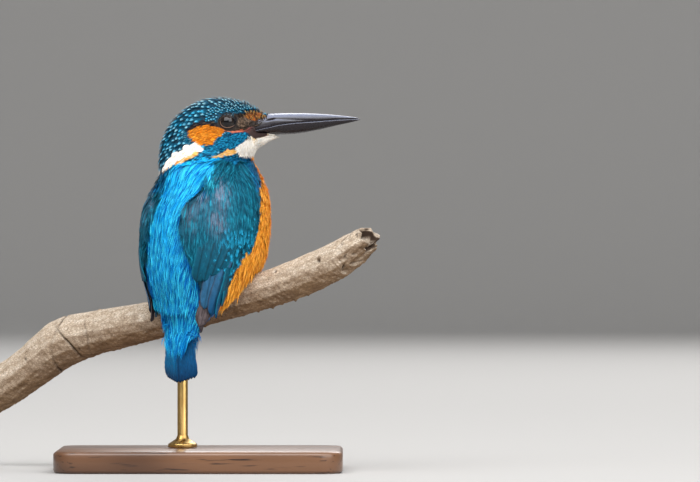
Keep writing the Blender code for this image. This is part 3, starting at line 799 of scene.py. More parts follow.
def lid_share(points):
    """Distance from the nearer eye as a share of the lid's own oval."""
    shares = []
    for side, eye in EYES.items():
        out, forward, up = eye_axes(side)
        offset = (points - eye) / MM
        rise = offset @ up
        flat = np.hypot(offset @ forward / 3.75, rise / np.where(rise > 0, 2.7, 3.0))
        shares.append(np.where(offset @ out > -1.5, flat, 9.0))
    return np.minimum(*shares)


def make_lid(side, surface):
    """A ring of lid skin with a raised rim, one fold and fine creases, from ball to face."""
    out, forward, up = eye_axes(side)
    turn = np.linspace(0, 2 * np.pi, LID_POINTS, endpoint=False)
    rings = []
    for index, (length, height, proud) in enumerate(LID_RINGS):
        pointed = 1 + 0.10 * np.cos(turn) ** 2 * np.sign(np.cos(turn))
        across = np.cos(turn) * length * MM * pointed
        upward = np.sin(turn) * height * MM * (1 - 0.10 * (index > 3) * (turn < np.pi))
        reach = np.hypot(across, upward)
        ball = np.sqrt(np.maximum(EYE_BALL**2 - np.minimum(reach, EYE_BALL * 0.97) ** 2, 0))
        folds = 0.05 * MM * np.sin(turn * 11) * ease(index, 3.0, 5.0)
        height_out = ball + proud * MM + folds
        place = EYES[side] + np.outer(height_out, out)
        place = place + np.outer(across, forward) + np.outer(upward, up)
        if index >= len(LID_RINGS) - 2:
            skin, normal = surface.nearest(place)
            sink = 0.05 if index == len(LID_RINGS) - 2 else -0.35
            place = skin + normal * sink * MM
        rings.append(place)
    numbers = np.arange(len(rings) * LID_POINTS).reshape(len(rings), LID_POINTS)
    quads = rings_between(list(numbers))
    if side < 0:
        quads = quads[:, ::-1]
    lid = link("lid", mesh_from("lid", np.concatenate(rings), quads))
    WORK["lid_" + dict(SIDES)[side]] = np.array(rings)
    share = np.repeat(np.arange(len(rings)), LID_POINTS)
    around = np.tile(turn, len(rings))
    return lid, share, around


def lid_colours(ring, turn):
    """Nearly black, with a pale lower rim."""
    dark, brown, flesh = (colour_of(name) for name in ("dark", "brown", "flesh"))
    colours = np.tile(dark * 0.6, (len(ring), 1))
    pale = ease(np.cos(turn - 4.3), -0.1, 0.8) * np.isin(ring, (2, 3)) * 0.75
    colours += pale[:, None] * (brown * 2.2 + flesh * 0.2 - colours)
    return colours


TUBE_SIDES, TUBE_FLATNESS = 10, 0.7


def tube(path, radii, out):
    """A tube along a path, closed at both ends and flatter in the direction out."""
    along = unit(np.gradient(path, axis=0))
    across = unit(np.cross(along, out))
    lift = np.cross(across, along)
    turn = np.linspace(0, 2 * np.pi, TUBE_SIDES, endpoint=False)
    rings = [
        p + r * (np.outer(np.cos(turn), a) + np.outer(np.sin(turn), b) * TUBE_FLATNESS)
        for p, r, a, b in zip(path, radii, across, lift)
    ]
    points = np.concatenate(rings + [path[:1], path[-1:]])
    numbers = np.arange(len(rings) * TUBE_SIDES).reshape(len(rings), TUBE_SIDES)
    first, last = len(points) - 2, len(points) - 1
    after = np.roll(numbers, -1, axis=1)
    caps = [(first, b, a) for a, b in zip(numbers[0], after[0])]
    caps += [(last, a, b) for a, b in zip(numbers[-1], after[-1])]
    return points, rings_between(list(numbers)), caps


def smooth_path(points, steps):
    """A smooth curve through the points."""
    points = np.asarray(points, float)
    padded = np.concatenate([2 * points[:1] - points[1:2], points, 2 * points[-1:] - points[-2:-1]])
    t = np.linspace(0, 1, steps, endpoint=False)[:, None]
    runs = []
    for a, b, c, d in zip(padded, padded[1:], padded[2:], padded[3:]):
        runs.append(0.5 * (2 * b + (c - a) * t + (2 * a - 5 * b + 4 * c - d) * t**2
                           + (3 * b - a - 3 * c + d) * t**3))
    return np.concatenate(runs + [points[-1:]])


# The fleshy fold at the corner of the bill: forward and up from the eye, radius, millimetres.
GAPE_FOLD = ((12.4, -1.7, 0.3), (10.4, -2.1, 0.38), (9.1, -2.4, 0.40), (7.6, -3.4, 0.34),
             (5.5, -3.9, 0.27), (2.5, -4.1, 0.22), (-1.2, -3.5, 0.12))


def make_gape(side, surface):
    """The fold at the corner of the bill, laid on the skin."""
    spots = smooth_path(GAPE_FOLD, 5)
    start = HEAD_CORE + np.outer(spots[:, 0] * MM + EYE_TO_CORE * MM, HEAD_AHEAD)
    start = start + np.outer(spots[:, 1] * MM + EYE_LEVEL - HEAD_CORE[2], UP)
    path = []
    for place in start:
        hit = surface.tree.ray_cast(place + HEAD_RIGHT * side * 0.03, -HEAD_RIGHT * side)[0]
        path.append(place if hit is None else np.array(hit))
    points, quads, caps = tube(np.array(path), spots[:, 2] * MM, HEAD_RIGHT * side)
    return link("gape", mesh_from("gape", points, quads, caps))


def gape_colours(points):
    """Orange pink under the eye, red brown at the corner, then as dark as the bill."""
    forward, _, up = head_chart(points)
    flesh = colour_of("flesh")
    red, horn = flesh * (0.20, 0.15, 0.20), flesh * (0.05, 0.09, 0.15)
    corner = ease(forward - up * 0.4, 7.0 * MM, 9.0 * MM)[:, None]
    root = ease(forward - up * 0.5, 9.4 * MM, 11.8 * MM)[:, None]
    colour = flesh + corner * (red - flesh)
    return colour + root * (horn - colour)


LEG_GRAIN = 0.28 * MM


def make_leg(word):
    """One leg and its toes, with soft scutes across them and pebbled skin."""
    leg = node_copy("leg_" + word)
    even_out(leg, LEG_GRAIN, 5)
    points = places(leg.data)
    flow = points @ unit(np.array((0.55, 0.7, 0.35))) / MM
    scutes = np.abs(np.sin(flow * 2.6 + 0.7 * np.sin(points[:, 0] * 900)))
    pebbles = mottle(points, 0.9 * MM, 2.0)
    push(leg, (0.10 * scutes**0.5 + 0.05 * pebbles - 0.08) * MM)
    return leg


def leg_colours(points):
    red, pale = np.array((0.62, 0.085, 0.022)), np.array((0.78, 0.20, 0.08))
    grain = 0.5 + 0.5 * mottle(points, 1.4 * MM)
    return red + grain[:, None] * (pale - red)


def skin_colours(points, flesh):
    """Markings on the skin itself, darker than what grows there as painted shade between the
    feathers.
    """
    main, _, deep, _ = zone_colours()
    zone = zones_at(points, flesh >= FIRST_WING)
    soft = (0.5 + 0.5 * mottle(points, 1.1 * MM))[:, None]
    colours = main[zone] + soft * (deep[zone] - main[zone])
    bare = zone == ZONE["gape"]
    # Painted shade: the skin that shows between the feathers is darkened, the lores' most.
    shade = np.where(zone == ZONE["lore"], 0.4, 0.75)[:, None]
    return np.where(bare[:, None], gape_colours(points), colours * shade), bare


# --- Coat ---

# How deep the roots sit in the skin, and the breadth of one feather on the flat pattern.
SINK = 0.25 * MM
PATCH = 0.003
# How far a feather turns at each step to the lie of the coat there, and the share of its
# length at which its zone is read.
TURNING, JUDGED_AT = 0.6, 0.7


def trace(surface, roots, normals, lengths, rows, wing, lie):
    """Points and normals of each feather's middle line, laid along the skin from its root."""
    step = (lengths / (rows - 1))[:, None]
    here, up = roots, normals
    way = lie(here, up, wing)
    line, ups = [here], [up]
    for _ in range(rows - 1):
        ahead = here + way * step
        found, found_up = surface.nearest_ground(ahead)
        gap = np.linalg.norm(found - ahead, axis=1, keepdims=True)
        hugs = (gap < 0.7 * step) & (dot(found_up, up) > 0.35)[:, None]
        here = np.where(hugs, found, ahead)
        up = unit(np.where(hugs, found_up, up) + 0.4 * up)
        way = unit(way * (1 - TURNING) + lie(here, up, wing) * TURNING)
        way = unit(way - up * dot(way, up)[:, None])
        line.append(here)
        ups.append(up)
    return np.stack(line, 1), np.stack(ups, 1)


def along(rows, t):
    """Values of rows (N, R, 3) at shares t (N, S, K) of the way along."""
    place = np.clip(t, 0, 1) * (rows.shape[1] - 1)
    low = np.minimum(place.astype(int), rows.shape[1] - 2)
    part = (place - low)[..., None]
    pick = np.arange(len(rows))[:, None, None]
    return rows[pick, low] * (1 - part) + rows[pick, low + 1] * part


def fan(line, ups, width, tips, tract, seed, rounded, loose):
    """Strands of each feather. Returns their corners and each strand's place in its feather."""
    rng = np.random.default_rng(seed)
    count, strands, rows = len(line), tract.strands, tract.rows
    each = (count, strands)
    place = np.linspace(-1, 1, strands)[None] + rng.normal(0, 0.35 / strands, each)
    reach = 1 - rounded * place**2 - loose * rng.random(each)
    t = np.linspace(0, 1, rows) * reach[..., None]
    centre, up = along(line, t), along(ups, t)
    flow = unit(along(line, t + 0.05) - along(line, t - 0.05))
    side = unit(np.cross(up, flow))
    up = np.cross(flow, side)
    spread = 0.25 + 0.75 * ease(t, 0.0, 0.6) - 0.18 * ease(t, 0.7, 1.0)
    half = (width / 2)[:, None, None]
    waver = tract.ruffle * 0.5 / strands * rng.normal(0, 1, (count, strands, 1)) * t
    out = (place[..., None] * spread + waver * 2) * half
    rise = tips[:, None] * tract.lift * (1 + 0.22 * tract.ruffle * rng.normal(0, 1, each))
    high = np.maximum(t, 1e-4) ** 0.8 * rise[..., None]
    high = high - SINK * (1 - t) - half * 0.16 * place[..., None] ** 2
    centre = centre + side * out[..., None] + up * high[..., None]
    roll = rng.normal(0, 0.5 * tract.ruffle, (count, strands, 1, 1))
    tilt = roll + place[..., None, None] * 0.25
    flat = side * np.cos(tilt) - up * np.sin(tilt)
    taper = 1 - 0.45 * ease(t / reach[..., None], 0.5, 1.0)
    broad = 1.25 * half / strands * (0.55 + 0.45 * spread) * taper
    left, right = centre - flat * broad[..., None], centre + flat * broad[..., None]
    return left[:, :, :-1], right[:, :, :-1], centre[:, :, -1], place, reach


def strand_faces(total, rows):
    """Quads and tip triangles of a number of strands, 2 * (rows - 1) + 1 corners each."""
    corners = 2 * (rows - 1) + 1
    start = (np.arange(total) * corners)[:, None]
    k = np.arange(rows - 2)[None] * 2
    quads = np.stack([start + k, start + k + 1, start + k + 3, start + k + 2], -1).reshape(-1, 4)
    last = start[:, 0] + 2 * (rows - 2)
    return quads, np.stack([last, last + 1, last + 2], 1)


def bake_place(points, head):
    """Where a point falls on the flat pattern of the skin, 0 to 1 each way."""
    if head:
        ray = unit(points - HEAD_CORE)
        polar = np.arccos(np.clip(ray[:, 2], -1, 1))
        turn = np.arctan2(ray @ HEAD_RIGHT, ray @ HEAD_AHEAD)
        reach = np.sin(polar / 2) * 0.48
        return np.stack([0.5 + reach * np.cos(turn), 0.5 + reach * np.sin(turn)], 1)
    ray = unit(points - (TRUNK_CORE * FLAT + UP * 95 * MM))
    polar = np.arccos(np.clip(ray[:, 2], -1, 1)) / np.pi
    return np.stack([0.01 + trunk_bearing(points) / 360 * 0.98, 0.01 + polar * 0.98], 1)


def pattern(mesh, name, corner_places):
    """A UV map from the place of each vertex."""
    layer = mesh.uv_layers.new(name=name)
    uv = corner_places[corner_numbers(mesh)]
    layer.uv.foreach_set("vector", uv.astype(np.float32).ravel())


class Bed:
    """A surface that feathers root in, with the coat's depth and the plumage zone of each face."""

    def __init__(self, surface, depth, wing, zone):
        self.surface, self.depth, self.wing, self.zone = surface, depth, wing, zone

    def raised(self, extra):
        """The same bed under feathers whose tips stand this much higher."""
        return Bed(self.surface, self.depth + extra, self.wing, self.zone)


def plant(name, wanted, tract, seed, size=None, rounded=0.3, loose=0.12, head=False,
          settle=None, tint_by=None, longer=None, bed=None, lie=lie_at):
    """Covers the wanted faces of the skin with one piece of plumage."""
    bed = bed or WORK["bed"]
    surface, depth = bed.surface, bed.depth
    local = np.ones(len(surface.centres)) if size is None else size(surface.centres)
    roots, normals, faces = surface.scatter(wanted, tract.spacing * local, seed)
    if bed is WORK["bed"]:
        keep = open_to_air(roots, normals)
        roots, normals, faces = roots[keep], normals[keep], faces[keep]
    rng = np.random.default_rng(seed + 1)
    scale = local[faces] * rng.uniform(0.88, 1.12, len(faces))
    wing = bed.wing[faces]
    lengths = tract.length * scale * (1 if longer is None else longer(roots, rng))
    line, ups = trace(surface, roots, normals, lengths, tract.rows, wing, lie)
    if settle is not None:
        line = settle(line)
    tips = np.maximum(depth[faces], 0.3 * MM) * rng.uniform(0.8, 1.15, len(faces))
    strands = fan(line, ups, tract.width * scale, tips, tract, seed + 2, rounded, loose)
    judged = line[:, int(round(JUDGED_AT * (tract.rows - 1)))]
    zone = zones_at(judged, wing) if bed is WORK["bed"] else bed.zone[faces]
    build_coat(name, roots, strands, zone, judged, tract, rng, tint_by, head)


def build_coat(name, roots, fanned, zone, judged, tract, rng, tint_by, head):
    """Makes the piece of plumage from its strands."""
    left, right, end, place, reach = fanned
    count, strands, body = left.shape[:3]
    pairs = np.stack([left, right], 3).reshape(count, strands, 2 * body, 3)
    points = np.concatenate([pairs, end[:, :, None]], 2)
    share = np.concatenate([np.repeat(np.linspace(0, 1, tract.rows)[:-1], 2), [1.0]])
    t = share[None, None] * reach[..., None]
    colours = coat_colours(zone, judged, place, t, share, rng, tint_by)
    quads, tips_of = strand_faces(count * strands, tract.rows)
    mesh = mesh_from(name, points.reshape(-1, 3), quads, tips_of)
    paint_points(mesh, colours.reshape(-1, 3))
    base = bake_place(roots, head)[:, None, None]
    offset = np.stack(np.broadcast_arrays(place[..., None] * 0.5, t - 0.5), -1)
    pattern(mesh, "OFBake", (base + offset * PATCH).reshape(-1, 2))
    coat = link(name, mesh)
    smooth_shaded(coat)
    give(coat, WORK["plumage"])
    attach(coat, "root")


def by_zone(usual, **others):
    """One number for each zone."""
    return np.array([others.get(name, usual) for name in ZONES])


# Brightness at the root, and the share of the length at which a strand reaches full colour.
# The dark roots are partly the darker down and partly painted shade between the feathers.
ROOT_DOWN_AND_SHADE = by_zone(0.42, azure=0.6, rump_side=0.55, lore=0.12, throat=0.86, patch=0.86,
                     band=0.7, patch_edge=0.7, orange=0.76, ear=0.45)
ROOT_ENDS = by_zone(0.7, lore=0.9)
# How much lighter the strands along the shaft are.
SHAFT = by_zone(0.0, azure=0.7, rump_side=0.8, scapular=0.6, breast_side=0.5)
# Tip spots: half breadth, how many feathers have one, and where along the strand it starts.
SPOT_HALF = by_zone(0.0, crown=0.5, covert=0.42, moustache=0.45)
SPOT_CHANCE = by_zone(0.0, crown=0.95, covert=1.0, moustache=0.4)
SPOT_START = by_zone(0.7, covert=0.72, moustache=0.55)


def coat_colours(zone, spots, place, t, share, rng, tint_by):
    """Corner colours by zone: light and deep strands, roots dark with down and painted shade, spots
    with painted glint.
    """
    main, light, deep, vary = zone_colours()
    count, strands = place.shape
    hue = rng.normal(0, 0.25, (count, 1)) + rng.normal(0, 0.8, (count, strands))
    hue = hue * vary[zone][:, None] * 1.3
    hue = hue + SHAFT[zone][:, None] * (np.exp(-(place / 0.22) ** 2) - 0.25)
    hue = np.clip(hue, -1, 1)[..., None]
    base = main[zone][:, None]
    if tint_by is not None:
        base = tint_by(spots, zone, main[zone])[:, None]
    shift = np.where(hue > 0, light[zone][:, None] - base, base - deep[zone][:, None])
    strand = base + shift * hue
    colours = np.repeat(strand[:, :, None], len(share), 2)
    # Painted shade at the roots, over their darker down, fades out along each strand.
    root, ends = ROOT_DOWN_AND_SHADE[zone][:, None, None], ROOT_ENDS[zone][:, None, None]
    colours = colours * (root + (1 - root) * ease(t, ends - 0.55, ends))[..., None]
    spot_half = SPOT_HALF[zone][:, None]
    middle_strands = ease(spot_half - np.abs(place), 0.0, 0.16)[..., None]
    mark = middle_strands * ease(
        share[None] - SPOT_START[zone][:, None], 0.0, 0.14)[:, None]
    mark = mark * (rng.random(count) < SPOT_CHANCE[zone])[:, None, None]
    glint, spot = colour_of("spot_glint"), colour_of("spot")
    # Painted sky reflection: some spots turn pale as a glint, more of them on top of the crown.
    painted_glint = rng.uniform(0, 0.7, count) + 0.5 * ease(spots[:, 2], 148 * MM, 155 * MM)
    bright = spot + (glint - spot) * np.clip(painted_glint, 0, 1)[:, None]
    bright[zone == ZONE["covert"]] = spot
    bright[zone == ZONE["moustache"]] = colour_of("moustache_light")
    bright = bright[:, None, None]
    return colours + mark[..., None] * (bright - colours)


HARD = ("bill_upper", "bill_lower", "perch_branch", "primaries_right", "primaries_left", "tail",
        "eye_right", "eye_left")


def open_to_air(roots, normals):
    """True for roots that lie clear of the lids with nothing close over them."""
    keep = np.ones(len(roots), bool)
    trees = [tree_of(name) for name in HARD]
    skin = WORK["bed"].surface.tree
    for index, (root, normal) in enumerate(zip(roots.tolist(), normals.tolist())):
        start = [r + n * 0.3 * MM for r, n in zip(root, normal)]
        keep[index] = all(tree.ray_cast(start, normal, 2.5 * MM)[0] is None for tree in trees)
        keep[index] &= skin.ray_cast(start, normal, 2.0 * MM)[0] is None
    return keep & (lid_share(roots) > 1.0)


NEAR_SOLID = 6 * MM


def clear_of(names, points, gap):
    """Points moved out to a gap over the named solids where they would be in them."""
    flat = points.reshape(-1, 3).copy()
    for name in names:
        corners = node_points(name)
        low, high = corners.min(0) - NEAR_SOLID, corners.max(0) + NEAR_SOLID
        near = np.flatnonzero(((flat > low) & (flat < high)).all(1))
        tree = tree_of(name)
        for index in near:
            spot = flat[index]
            hit, normal, _, _ = tree.find_nearest(spot, NEAR_SOLID)
            if hit is not None:
                normal = np.array(normal)
                depth = (spot - np.array(hit)) @ normal
                if depth < gap:
                    flat[index] = np.array(hit) + normal * gap
    return flat.reshape(points.shape)


# --- Large feathers ---

VANE_ROWS, VANE_COLUMNS = 22, 11
# Share of a broad feather's length that its rounded tip takes.
TIP_LENGTH = 0.22
# Quills of a folded wing: bearing and height of root and tip, half breadth, depth under the
# outline in millimetres, colour along the middle and at the tip.
WING_QUILLS = (
    (126, 90, 141.0, 62.5, 2.3, 1.45, "dusk", "dusk"),
    (128, 90, 144.5, 60.5, 2.3, 1.30, "dusk", "dusk"),
    (130, 90, 148.0, 58.0, 2.3, 1.15, "dusk", "dusk"),
    (102, 96, 117.5, 73.5, 2.6, 1.00, "teal", "teal"),
    (106, 96, 123.0, 69.0, 2.9, 0.85, "teal", "teal"),
    (111, 96, 129.3, 64.2, 3.1, 0.70, "teal", "moustache"),
    (118, 97, 134.2, 65.0, 3.0, 0.50, "steel", "moustache"),
    (129, 97, 140.6, 67.9, 2.9, 0.34, "steel", "steel"),
    (115, 99, 127.5, 84.5, 2.8, 0.24, "teal", "teal"),
    (122, 100, 134.0, 81.6, 2.8, 0.16, "teal", "teal"),
    (130, 100, 140.0, 79.4, 2.9, 0.08, "teal", "teal"),
    (138, 100, 146.6, 79.0, 2.8, 0.0, "teal", "teal"),
)


def wing_spot(side, bearing, height, depth):
    """A point under the outline of a folded wing, at a bearing measured from its own side."""
    start = trunk_point(side * bearing, 60 * MM, height * MM)
    inward = unit((TRUNK_CORE - start) * FLAT)
    word = dict(SIDES)[side]
    for rise in (0, 1.5, 3, 5, 8, 12):
        casts = [tree_of(n).ray_cast(start + UP * rise * MM, inward)[3]
                 for n in ("wing_" + word, "primaries_" + word, "trunk")]
        hits = [hit for hit in casts if hit is not None]
        if hits:
            return start + inward * (min(hits) + depth * MM)
    raise RuntimeError("no wing under this place")


def tail_spot(across, height, depth):
    """A point under the upper surface of the tail."""
    start = TAIL_ROOT * FLAT + UP * height * MM + TRUNK_RIGHT * across * MM
    start = start - TRUNK_AHEAD * 40 * MM
    for shift in (0, -1, 1, -2, 2, -3, 3):
        place = start - TRUNK_RIGHT * shift * np.sign(across) * MM
        hit = tree_of("tail").ray_cast(place, TRUNK_AHEAD)[3]
        if hit is not None:
            return start + TRUNK_AHEAD * (hit + depth * MM)
    return start + TRUNK_AHEAD * 40 * MM


def evened(line, rounds=6):
    """A line of points with its jumps smoothed out, its ends kept."""
    line = np.array(line)
    for _ in range(rounds):
        line[1:-1] = (line[:-2] + 2 * line[1:-1] + line[2:]) / 4
    return line


def vane(line, up, half, seed):
    """One broad feather as a grid: shaft ridge, arched webs and an uneven edge."""
    rng = np.random.default_rng(seed)
    t = np.linspace(0, 1, VANE_ROWS)
    x = np.linspace(-1, 1, VANE_COLUMNS)
    flow = unit(np.gradient(line, axis=0))
    side = unit(np.cross(up, flow))
    up = np.cross(flow, side)
    end = np.clip((t - (1 - TIP_LENGTH)) / TIP_LENGTH, 0, 1)
    breadth = half * ease(t, -0.2, 0.35) * np.sqrt(np.maximum(1 - end**2, 0.0004))
    ragged = 1 + 0.05 * rng.normal(0, 1, (VANE_ROWS, 2)) * ease(t, 0.3, 0.7)[:, None]
    edge = np.where(x[None] < 0, ragged[:, :1], ragged[:, 1:])
    out = breadth[:, None] * x[None] * np.where(np.abs(x[None]) > 0.9, edge, 1)
    ridge = 0.10 * MM * np.exp(-(x / 0.12) ** 2)
    wave = 0.05 * MM * np.sin(t[:, None] * 34 + np.abs(x)[None] * 5 + seed)
    high = ridge[None] - half * 0.16 * x[None] ** 2 + wave * np.abs(x)[None]
    return line[:, None] + side[:, None] * out[..., None] + up[:, None] * high[..., None]


def vane_set(name, lines, ups, halves, colours, thickness):
    """Joins broad feathers into one piece, each with its own strip of the flat pattern."""
    total = len(lines)
    grids = [vane(l, u, h * MM, i) for i, (l, u, h) in enumerate(zip(lines, ups, halves))]
    numbers = np.arange(total * VANE_ROWS * VANE_COLUMNS).reshape(total, VANE_ROWS, VANE_COLUMNS)
    corners = [numbers[:, :-1, :-1], numbers[:, :-1, 1:], numbers[:, 1:, 1:], numbers[:, 1:, :-1]]
    quads = np.stack(corners, -1).reshape(-1, 4)
    mesh = mesh_from(name, np.concatenate(grids).reshape(-1, 3), quads)
    paint_points(mesh, np.concatenate(colours).reshape(-1, 3))
    x, t = np.meshgrid(np.linspace(0, 1, VANE_COLUMNS), np.linspace(0, 1, VANE_ROWS))
    strips = [np.stack([(i + 0.05 + 0.9 * x) / total, 0.02 + 0.96 * t], -1) for i in range(total)]
    pattern(mesh, "OFBake", np.concatenate(strips).reshape(-1, 2))
    pattern(mesh, "Barbs", np.tile(np.stack([x, t], -1)[None], (total, 1, 1, 1)).reshape(-1, 2))
    piece = link(name, mesh)
    apply(piece, "SOLIDIFY", thickness=thickness, offset=-1.0)
    smooth_shaded(piece)
    piece.data.materials.append(WORK["quill"])
    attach(piece, "root")
    return piece


def quill_colours(middle_colour, tip_colour, edge_colour, seed):
    """The middle's colour turning to the tip's, both edges tinted, the shaft and root dark."""
    rng = np.random.default_rng(seed)
    t = np.linspace(0, 1, VANE_ROWS)[:, None, None]
    x = np.linspace(-1, 1, VANE_COLUMNS)[None, :, None]
    colour = middle_colour + (tip_colour - middle_colour) * ease(t, 0.55, 1.0)
    colour = colour + (edge_colour - colour) * ease(np.abs(x), 0.72, 1.0) * 0.7
    streak = rng.normal(0, 0.09, (VANE_ROWS, VANE_COLUMNS, 1))
    shaft = 1 - 0.5 * np.exp(-(x / 0.12) ** 2)
    return colour * (1 + streak) * shaft * (0.55 + 0.45 * ease(t, 0.0, 0.5))


# --- Finishes ---


class Wire:
    """A value in a material. Arithmetic on it adds Math nodes."""

    def __init__(self, board, socket):
        self.board, self.socket = board, socket

    def math(self, operation, *others):
        inputs = dict(enumerate((self, *others)))
        return self.board.add("ShaderNodeMath", {"operation": operation}, inputs)

    def __add__(self, other):
        return self.math("ADD", other)

    def __sub__(self, other):
        return self.math("SUBTRACT", other)

    def __rsub__(self, other):
        return self.board.add("ShaderNodeMath", {"operation": "SUBTRACT"}, {0: other, 1: self})

    def __mul__(self, other):
        return self.math("MULTIPLY", other)

    __radd__, __rmul__ = __add__, __mul__


class Board:
    """A material's nodes, with one way of adding each."""

    def __init__(self, name):
        self.material = bpy.data.materials.new(name)
        self.material.use_nodes = True
        self.tree = self.material.node_tree
        self.tree.nodes.clear()
        self.out = self.tree.nodes.new("ShaderNodeOutputMaterial")

    def add(self, kind, settings=None, inputs=None, output=0):
        """A node of this type: its settings first, then values or links of its sockets."""
        node = self.tree.nodes.new(kind)
        for name, value in (settings or {}).items():
            if name == "stops":
                self.set_stops(node.color_ramp, value)
            else:
                setattr(node, name, value)
        for name, value in (inputs or {}).items():
            if isinstance(value, Wire):
                self.tree.links.new(value.socket, node.inputs[name])
            else:
                node.inputs[name].default_value = value
        return Wire(self, node.outputs[output])

    def set_stops(self, ramp, stops):
        for _ in stops[2:]:
            ramp.elements.new(0.5)
        for element, (place, colour) in zip(ramp.elements, stops):
            element.position = place
            element.color = (*colour, 1.0)

    def here(self):
        return self.add("ShaderNodeTexCoord", output="Object")

    def stored(self, name, output="Fac"):
        """What the mesh keeps under this name."""
        return self.add("ShaderNodeAttribute", {"attribute_name": name}, output=output)

    def part(self, vector, index):
        """One of the three numbers of a vector."""
        return self.add("ShaderNodeSeparateXYZ", inputs={0: vector}, output=index)

    def upward(self):
        """1 where the surface faces up, -1 where it faces down."""
        return self.part(self.add("ShaderNodeNewGeometry", output="Normal"), 2)

    def shaded(self, colour, shade):
        """The colour times a number."""
        grey = self.add("ShaderNodeCombineColor", inputs={0: shade, 1: shade, 2: shade})
        return self.mix(1.0, colour, grey, "MULTIPLY")

    def noise(self, scale, detail, roughness=0.5, stretch=None):
        place = self.here()
        if stretch is not None:
            place = self.add("ShaderNodeMapping", inputs={"Vector": place, "Scale": stretch})
        settings = {"Vector": place, "Scale": scale, "Detail": detail, "Roughness": roughness}
        return self.add("ShaderNodeTexNoise", inputs=settings)

    def ramp(self, value, stops):
        return self.add("ShaderNodeValToRGB", {"stops": stops}, {"Fac": value})

    def between(self, value, low, high, to_low=0.0, to_high=1.0):
        """The value moved from one range to another, held at its ends."""
        inputs = {"Value": value, "From Min": low, "From Max": high, "To Min": to_low,
                  "To Max": to_high}
        return self.add("ShaderNodeMapRange", {"interpolation_type": "SMOOTHSTEP"}, inputs)

    def mix(self, share, first, second, blend="MIX"):
        """Two colours mixed; either may be a plain triple."""
        inputs = {0: share}
        for index, colour in ((6, first), (7, second)):
            inputs[index] = colour if isinstance(colour, Wire) else (*colour, 1.0)
        return self.add("ShaderNodeMix", {"data_type": "RGBA", "blend_type": blend}, inputs, 2)

    def bump(self, height, rise, strength):
        inputs = {"Height": height, "Distance": rise, "Strength": strength}
        return self.add("ShaderNodeBump", inputs=inputs)

    def finish(self, **sockets):
        """The material, with these sockets of its shader set or linked."""
        names = {name.replace("_", " "): value for name, value in sockets.items()}
        shader = self.add("ShaderNodeBsdfPrincipled", inputs=names)
        self.tree.links.new(shader.socket, self.out.inputs["Surface"])
        return self.material


def plumage_finish():
    """Barbs in the colours that the mesh keeps, nearly without gloss."""
    board = Board("plumage")
    fine, soft = board.noise(2600.0, 3.0), board.noise(420.0, 3.0)
    shade = board.between(fine * 0.6 + soft * 0.4, 0.3, 0.7, 0.80, 1.14)
    return board.finish(
        Base_Color=board.shaded(board.stored("Plumage", "Color"), shade),
        Roughness=board.between(soft, 0.3, 0.7, 0.48, 0.66), Specular_IOR_Level=0.09,
        Normal=board.bump(fine, 0.00004, 0.6),
    )


def quill_finish():
    """Broad feathers with fine slanting barbs on both sides of the shaft."""
    board = Board("quill")
    strip = board.add("ShaderNodeUVMap", {"uv_map": "Barbs"})
    away = (board.part(strip, 0) - 0.5).math("ABSOLUTE")
    barb = ((board.part(strip, 1) - away * 0.16) * 330.0).math("SINE")
    soft = board.between(board.noise(500.0, 3.0), 0.3, 0.7, 0.88, 1.10)
    shade = board.between(barb, -1.0, 1.0, 0.80, 1.10) * soft
    return board.finish(
        Base_Color=board.shaded(board.stored("Plumage", "Color"), shade), Roughness=0.5,
        Specular_IOR_Level=0.15, Normal=board.bump(barb, 0.00003, 0.7),
    )


def skin_finish():
    """Dull under the plumage, pored and a little glossy where it is bare."""
    board = Board("skin")
    bare = board.stored("Bare")
    pores = board.add("ShaderNodeTexVoronoi", inputs={"Vector": board.here(), "Scale": 2200.0})
    soft = board.noise(900.0, 4.0)
    shade = board.between(soft, 0.3, 0.7, 0.78, 1.12)
    return board.finish(
        Base_Color=board.shaded(board.stored("Plumage", "Color"), shade),
        Roughness=board.between(bare, 0.0, 1.0, 0.8, 0.45), Specular_IOR_Level=0.3,
        Normal=board.bump(pores * bare + soft * 0.5, 0.00008, 0.8),
    )


def claw_finish():
    """Dark brown horn with a soft polish."""
    board = Board("claw_horn")
    grain = board.noise(260.0, 5.0, 0.6, (0.16, 1.0, 1.0))
    fine = board.noise(1500.0, 3.0)
    colour = board.ramp(grain, ((0.32, (0.015, 0.010, 0.008)), (0.72, (0.07, 0.045, 0.035))))
    return board.finish(
        Base_Color=colour, Roughness=board.between(fine, 0.3, 0.7, 0.24, 0.42),
        Coat_Weight=0.2, Coat_Roughness=0.25, Normal=board.bump(grain + fine * 0.3, 0.00006, 0.7),
    )


def bill_finish():
    """Nearly black horn, with a painted highlight in blue grey where it faces up."""
    board = Board("bill_horn")
    grain = board.noise(200.0, 5.0, 0.6, (0.12, 1.0, 1.0))
    fine = board.noise(1300.0, 3.0)
    # Painted highlight: the horn is mixed to blue grey where it faces up, towards the light.
    tone = board.between(board.upward() + (grain - 0.5) * 0.5, -0.1, 0.95)
    colour = board.ramp(tone, ((0.0, (0.010, 0.007, 0.010)), (0.5, (0.020, 0.020, 0.030)),
                               (1.0, (0.165, 0.18, 0.25))))
    return board.finish(
        Base_Color=colour, Roughness=board.between(fine, 0.3, 0.7, 0.24, 0.34),
        Coat_Weight=0.12, Coat_Roughness=0.2, Specular_IOR_Level=0.35,
        Normal=board.bump(grain + fine * 0.2, 0.00004, 0.5),
    )


def eye_finish():
    """A black pupil in a dark brown iris, under a wet gloss."""
    board = Board("eye")
    reach = board.stored("Reach")
    rays = board.noise(1800.0, 4.0)
    brown = board.ramp(rays, ((0.3, (0.006, 0.004, 0.003)), (0.7, (0.022, 0.012, 0.008))))
    pupil = board.between(reach, 0.50, 0.54)
    colour = board.mix(pupil, (0.002, 0.002, 0.003), brown)
    rim = board.between(reach, 0.80, 0.95)
    return board.finish(
        Base_Color=board.mix(rim, colour, (0.004, 0.004, 0.005)), Roughness=0.10,
        Coat_Weight=0.15, Coat_Roughness=0.02, Specular_IOR_Level=0.35,
    )


